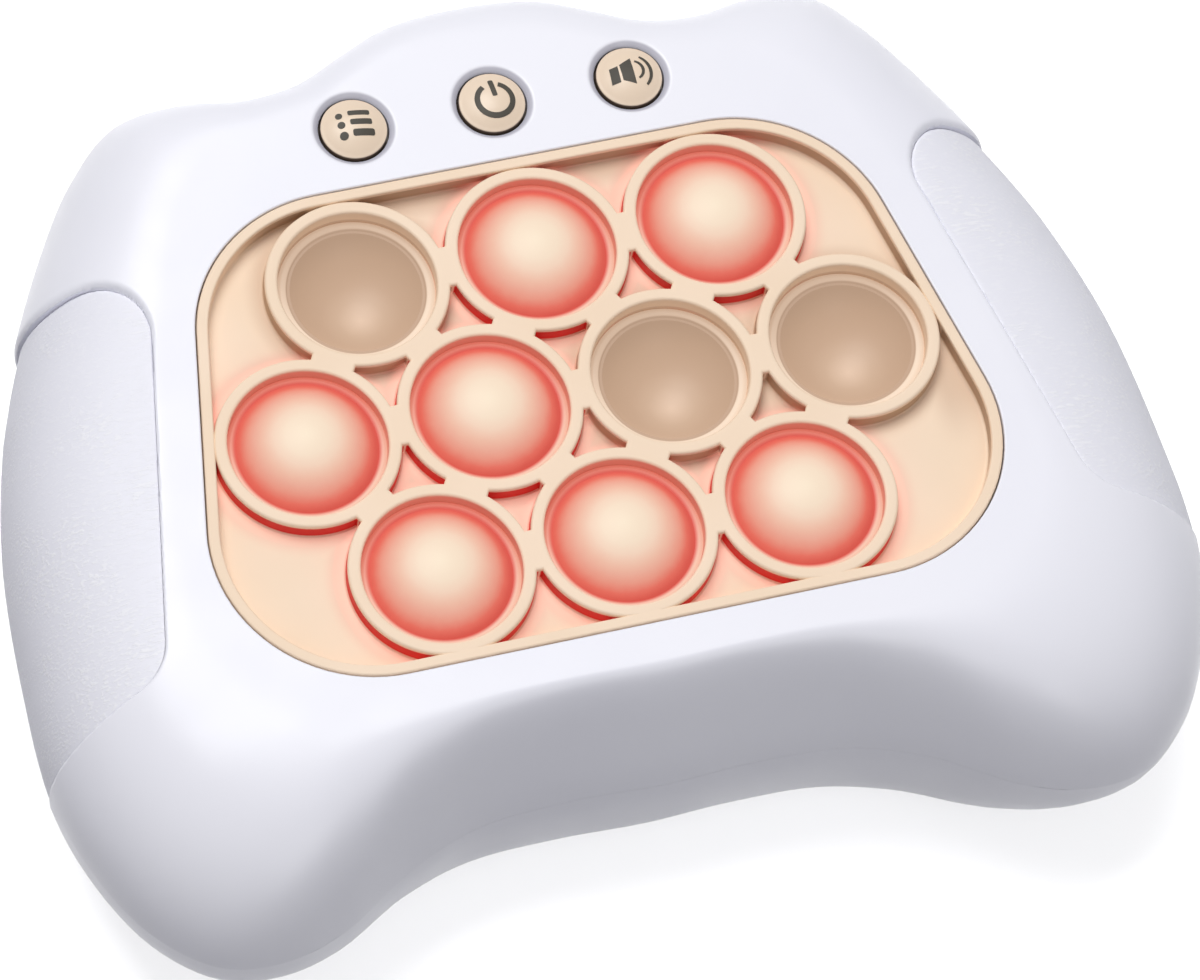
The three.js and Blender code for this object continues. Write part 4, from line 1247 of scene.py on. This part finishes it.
def bubble_profile(radius, rim_z, crown_z):
    """Thin skin of a bubble: its lip against the ring's wall, then the dome, then back inside."""
    inner_rim = floor_top - skin_clearance
    lip = [(ring_inner_radius - skin_clearance, inner_rim),
           (ring_inner_radius - skin_clearance, rim_z - lip_rise),
           (ring_inner_radius - lip_shoulder, rim_z + 0.5 * lip_rise),
           (lip_radius, rim_z + lip_rise),
           (radius + lip_foot, rim_z + 0.4 * lip_rise),
           (radius, rim_z)]
    outside = dome_arc(radius, rim_z, crown_z, bubble_rows)
    inner_crown = crown_z - math.copysign(dome_skin, crown_z - rim_z)
    inside = dome_arc(radius - dome_skin, inner_rim, inner_crown, bubble_rows)[::-1]
    return lip + outside + inside + [(radius - dome_skin, inner_rim), lip[0]]


def bubble(number):
    x, y = bubble_places[number]
    pressed = number in pressed_bubbles
    if pressed:
        profile = bubble_profile(bowl_radius, bowl_rim, bowl_bottom)
    else:
        profile = bubble_profile(dome_radius, dome_rim, dome_crown)
    dome = turned(f"bubble_{number}_dome", profile, bubble_sides, x, y)
    chart = dome.data.uv_layers.active or dome.data.uv_layers.new(name="dome_chart")
    span = 2 * ring_inner_radius
    for loop in dome.data.loops:
        point = dome.data.vertices[loop.vertex_index].co
        chart.data[loop.index].uv = ((point.x - x) / span + 0.5, (point.y - y) / span + 0.5)
    dome.data.name = dome.name
    dome.data.materials.clear()
    dome.data.materials.append(bowl if pressed else lit_dome)
    take(dome)
    bpy.ops.object.shade_smooth_by_angle(angle=math.radians(bubble_smooth_angle))
    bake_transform(dome)
    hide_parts(f"bubble_{number}")
    return dome


# Buttons

def button_cap(name):
    x, y = middle_of(name)
    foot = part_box(name)[0].z
    flange = button_radius + button_flange_reach
    flange_top = ceiling - seat_gap
    flange_under = flange_top - button_flange_height
    edge = rounded_edge(button_radius, button_edge, button_edge_round)
    crown = dome_arc(button_radius - button_edge_round, button_edge, button_crown, cap_rows)
    cap = turned(name + "_cap", [
        (0, foot), (button_stem_radius, foot), (button_stem_radius, flange_under), (flange, flange_under),
        (flange, flange_top), (button_radius, flange_top),
    ] + edge + crown, large_round_sides, x, y)
    return finish(cap, name + "_cap", name, button_plastic, [name])


def arc_band(x, y, radius, width, start, end, taper=0.0, steps=24):
    """Outline of a curved stroke about (x, y), narrower at its ends by the taper share."""
    outer, inner = [], []
    for i in range(steps + 1):
        turn = math.radians(start + (end - start) * i / steps)
        half = width / 2 * (1 - taper * abs(2 * i / steps - 1) ** 2)
        outer.append((x + (radius + half) * math.cos(turn), y + (radius + half) * math.sin(turn)))
        inner.append((x + (radius - half) * math.cos(turn), y + (radius - half) * math.sin(turn)))
    return outer + inner[::-1]


def bar_outline(x0, y0, x1, y1, width):
    """Outline of a straight stroke with slightly rounded ends."""
    along = Vector((x1 - x0, y1 - y0)).normalized()
    across = Vector((-along.y, along.x)) * width / 2
    corner = width * 0.3
    return rounded_outline([
        (x0 + across.x, y0 + across.y, corner), (x1 + across.x, y1 + across.y, corner),
        (x1 - across.x, y1 - across.y, corner), (x0 - across.x, y0 - across.y, corner),
    ], steps=4)


def dot_outline(x, y, radius):
    return [(x + radius * math.cos(math.radians(a)), y + radius * math.sin(math.radians(a)))
            for a in range(0, 360, 15)]


def list_symbol():
    rows = [(0.00184, 0.0005, 0.0008), (0.0003, 0.00055, 0.0009), (-0.0014, 0.00062, 0.00104)]
    shapes = []
    for y, dot, stroke in rows:
        shapes.append(dot_outline(-0.00182, y, dot))
        shapes.append(bar_outline(-0.0005, y + 0.0002, 0.0026, y - 0.00015, stroke))
    return shapes


def power_symbol():
    return [arc_band(0.0003, -0.0001, 0.00252, 0.00078, 66, -241, steps=48),
            bar_outline(0.00036, 0.0031, 0.00044, 0.0003, 0.00074)]


def loudness_symbol():
    driver = [(-0.00275, 0.0012), (-0.0015, 0.0014), (-0.00162, -0.0012), (-0.00292, -0.0013)]
    horn = [(-0.0012, 0.00152), (0.0006, 0.0023), (0.0005, -0.0019), (-0.00124, -0.001)]
    return [driver, horn, arc_band(0.0005, 0.0003, 0.0015, 0.00046, 68, -68, 0.4),
            arc_band(0.0002, 0.0001, 0.0029, 0.0005, 52, -52, 0.4)]


def printed_symbol(name, shapes):
    """The printing on a cap: each shape as a thin skin that follows the crown."""
    x, y = middle_of(name)
    inks = [stacked("ink", lambda reach: [(x + px, y + py) for px, py in shape],
                    [(0, ceiling), (0, button_crown + overrun)]) for shape in shapes]
    ink = joined(inks)
    reach = 0.85 * button_radius
    rise = button_crown - button_edge
    ball = (button_radius ** 2 + rise ** 2) / (2 * rise)
    edge_z = button_crown - ball + math.sqrt(ball ** 2 - reach ** 2)
    top = dome_arc(reach, edge_z + print_lift, button_crown + print_lift, cap_rows)
    under = dome_arc(reach, edge_z - print_depth, button_crown - print_depth, cap_rows)[::-1]
    edge = [(reach, edge_z - print_depth), (reach, edge_z + print_lift)]
    skin = turned("ink_skin", under + edge + top, medium_round_sides, x, y)
    combine(ink, skin, "INTERSECT")
    return finish(ink, name + "_symbol", name, print_dark)


# Staging

def lay_floor():
    """A floor that is seen white but throws only a dimmer grey light back at the object."""
    clear_selection()
    bpy.ops.mesh.primitive_plane_add(size=floor_size, location=(0, 0, 0))
    floor = bpy.context.object
    floor.name = "floor"
    paper = Finish("floor_paper", 0.9, specular=0.1)
    rays = paper.add("ShaderNodeLightPath")
    seen = paper.math("MAXIMUM", rays.outputs["Is Camera Ray"],
                      paper.math("MAXIMUM", rays.outputs["Is Glossy Ray"],
                                 rays.outputs["Is Transmission Ray"]))
    paper.paint(paper.mix(seen, colour(0x7E7E84), colour(0xFFFFFF)))
    paper.shader.inputs["Emission Color"].default_value = (1, 1, 1, 1)
    paper.feed(paper.shader.inputs["Emission Strength"], paper.math("MULTIPLY", seen, floor_glow))
    floor.data.materials.append(paper.material)


def light_the_room():
    """Dim light from all round, seen as a white background by the camera and in reflections."""
    world = bpy.data.worlds.new("studio")
    bpy.context.scene.world = world
    world.use_nodes = True
    nodes = world.node_tree.nodes
    links = world.node_tree.links
    nodes["Background"].inputs["Color"].default_value = (0.95, 0.95, 1.0, 1)
    nodes["Background"].inputs["Strength"].default_value = room_light
    rays = nodes.new("ShaderNodeLightPath")
    straight = nodes.new("ShaderNodeMath")
    straight.operation = "MAXIMUM"
    shown = nodes.new("ShaderNodeMath")
    shown.operation = "MAXIMUM"
    white = nodes.new("ShaderNodeBackground")
    white.inputs["Color"].default_value = (1, 1, 1, 1)
    pick = nodes.new("ShaderNodeMixShader")
    links.new(rays.outputs["Is Camera Ray"], straight.inputs[0])
    links.new(rays.outputs["Is Transmission Ray"], straight.inputs[1])
    links.new(straight.outputs[0], shown.inputs[0])
    links.new(rays.outputs["Is Glossy Ray"], shown.inputs[1])
    links.new(shown.outputs[0], pick.inputs[0])
    links.new(nodes["Background"].outputs[0], pick.inputs[1])
    links.new(white.outputs[0], pick.inputs[2])
    links.new(pick.outputs[0], nodes["World Output"].inputs["Surface"])


def soft_light(name, location, size, power):
    """A square lamp that faces the middle of the base."""
    lamp = bpy.data.lights.new(name, "AREA")
    lamp.size = size
    lamp.energy = power
    holder = bpy.data.objects.new(name, lamp)
    bpy.context.collection.objects.link(holder)
    holder.location = location
    holder.rotation_euler = (-Vector(location)).to_track_quat("-Z", "Y").to_euler()


def camera():
    view = bpy.data.cameras.new("camera")
    view.sensor_width = 36
    view.lens = camera_lens
    view.clip_start = camera_near
    holder = bpy.data.objects.new("camera", view)
    bpy.context.collection.objects.link(holder)
    holder.location = camera_place
    holder.rotation_mode = "QUATERNION"
    roll = Quaternion((0, 0, 1), math.radians(camera_roll))
    holder.rotation_quaternion = (camera_aim - camera_place).to_track_quat("-Z", "Y") @ roll
    bpy.context.scene.camera = holder


camera()
lay_floor()
light_the_room()
soft_light("key", *key_light)
soft_light("front", *front_light)
bpy.context.scene.view_settings.view_transform = "Standard"

whole_case = case_body("whole_case", *fine_skin, cover_depth, dense=True)
hollow = case_hollow()
top_cover(whole_case, copy_of(hollow, "top_hollow"))
bottom_cover(whole_case, hollow)
bpy.data.objects.remove(whole_case)
grip_panels()
battery_door()
cross_screw("battery_door_screw", "battery_door", door_shank_radius, door_head_height)
for screw in case_screws:
    cross_screw(screw, "case", case_shank_radius, case_head_height)
bubble_sheet()
for number in bubble_numbers:
    bubble(number)
for name in button_names:
    button_cap(name)
printed_symbol("mode_button", list_symbol())
printed_symbol("power_button", power_symbol())
printed_symbol("volume_button", loudness_symbol())

node_finishes = {
    "retaining_frame": frame_plastic,
    "circuit_board": board_green,
    "main_chip": dark_plastic,
    "speaker": dark_plastic,
    "battery_contact_back": steel,
    "battery_contact_front": steel,
}
for number in bubble_numbers:
    node_finishes[f"bubble_switch_{number}"] = dark_plastic
    node_finishes[f"lamp_{number}"] = lamp_lens
for name in button_names:
    node_finishes[name + "_switch"] = dark_plastic
for cell in range(1, 4):
    node_finishes[f"battery_cell_{cell}"] = cell_jacket
for screw in board_screws:
    node_finishes[screw] = steel
for name, material in node_finishes.items():
    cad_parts[name].material_slots[0].material = material
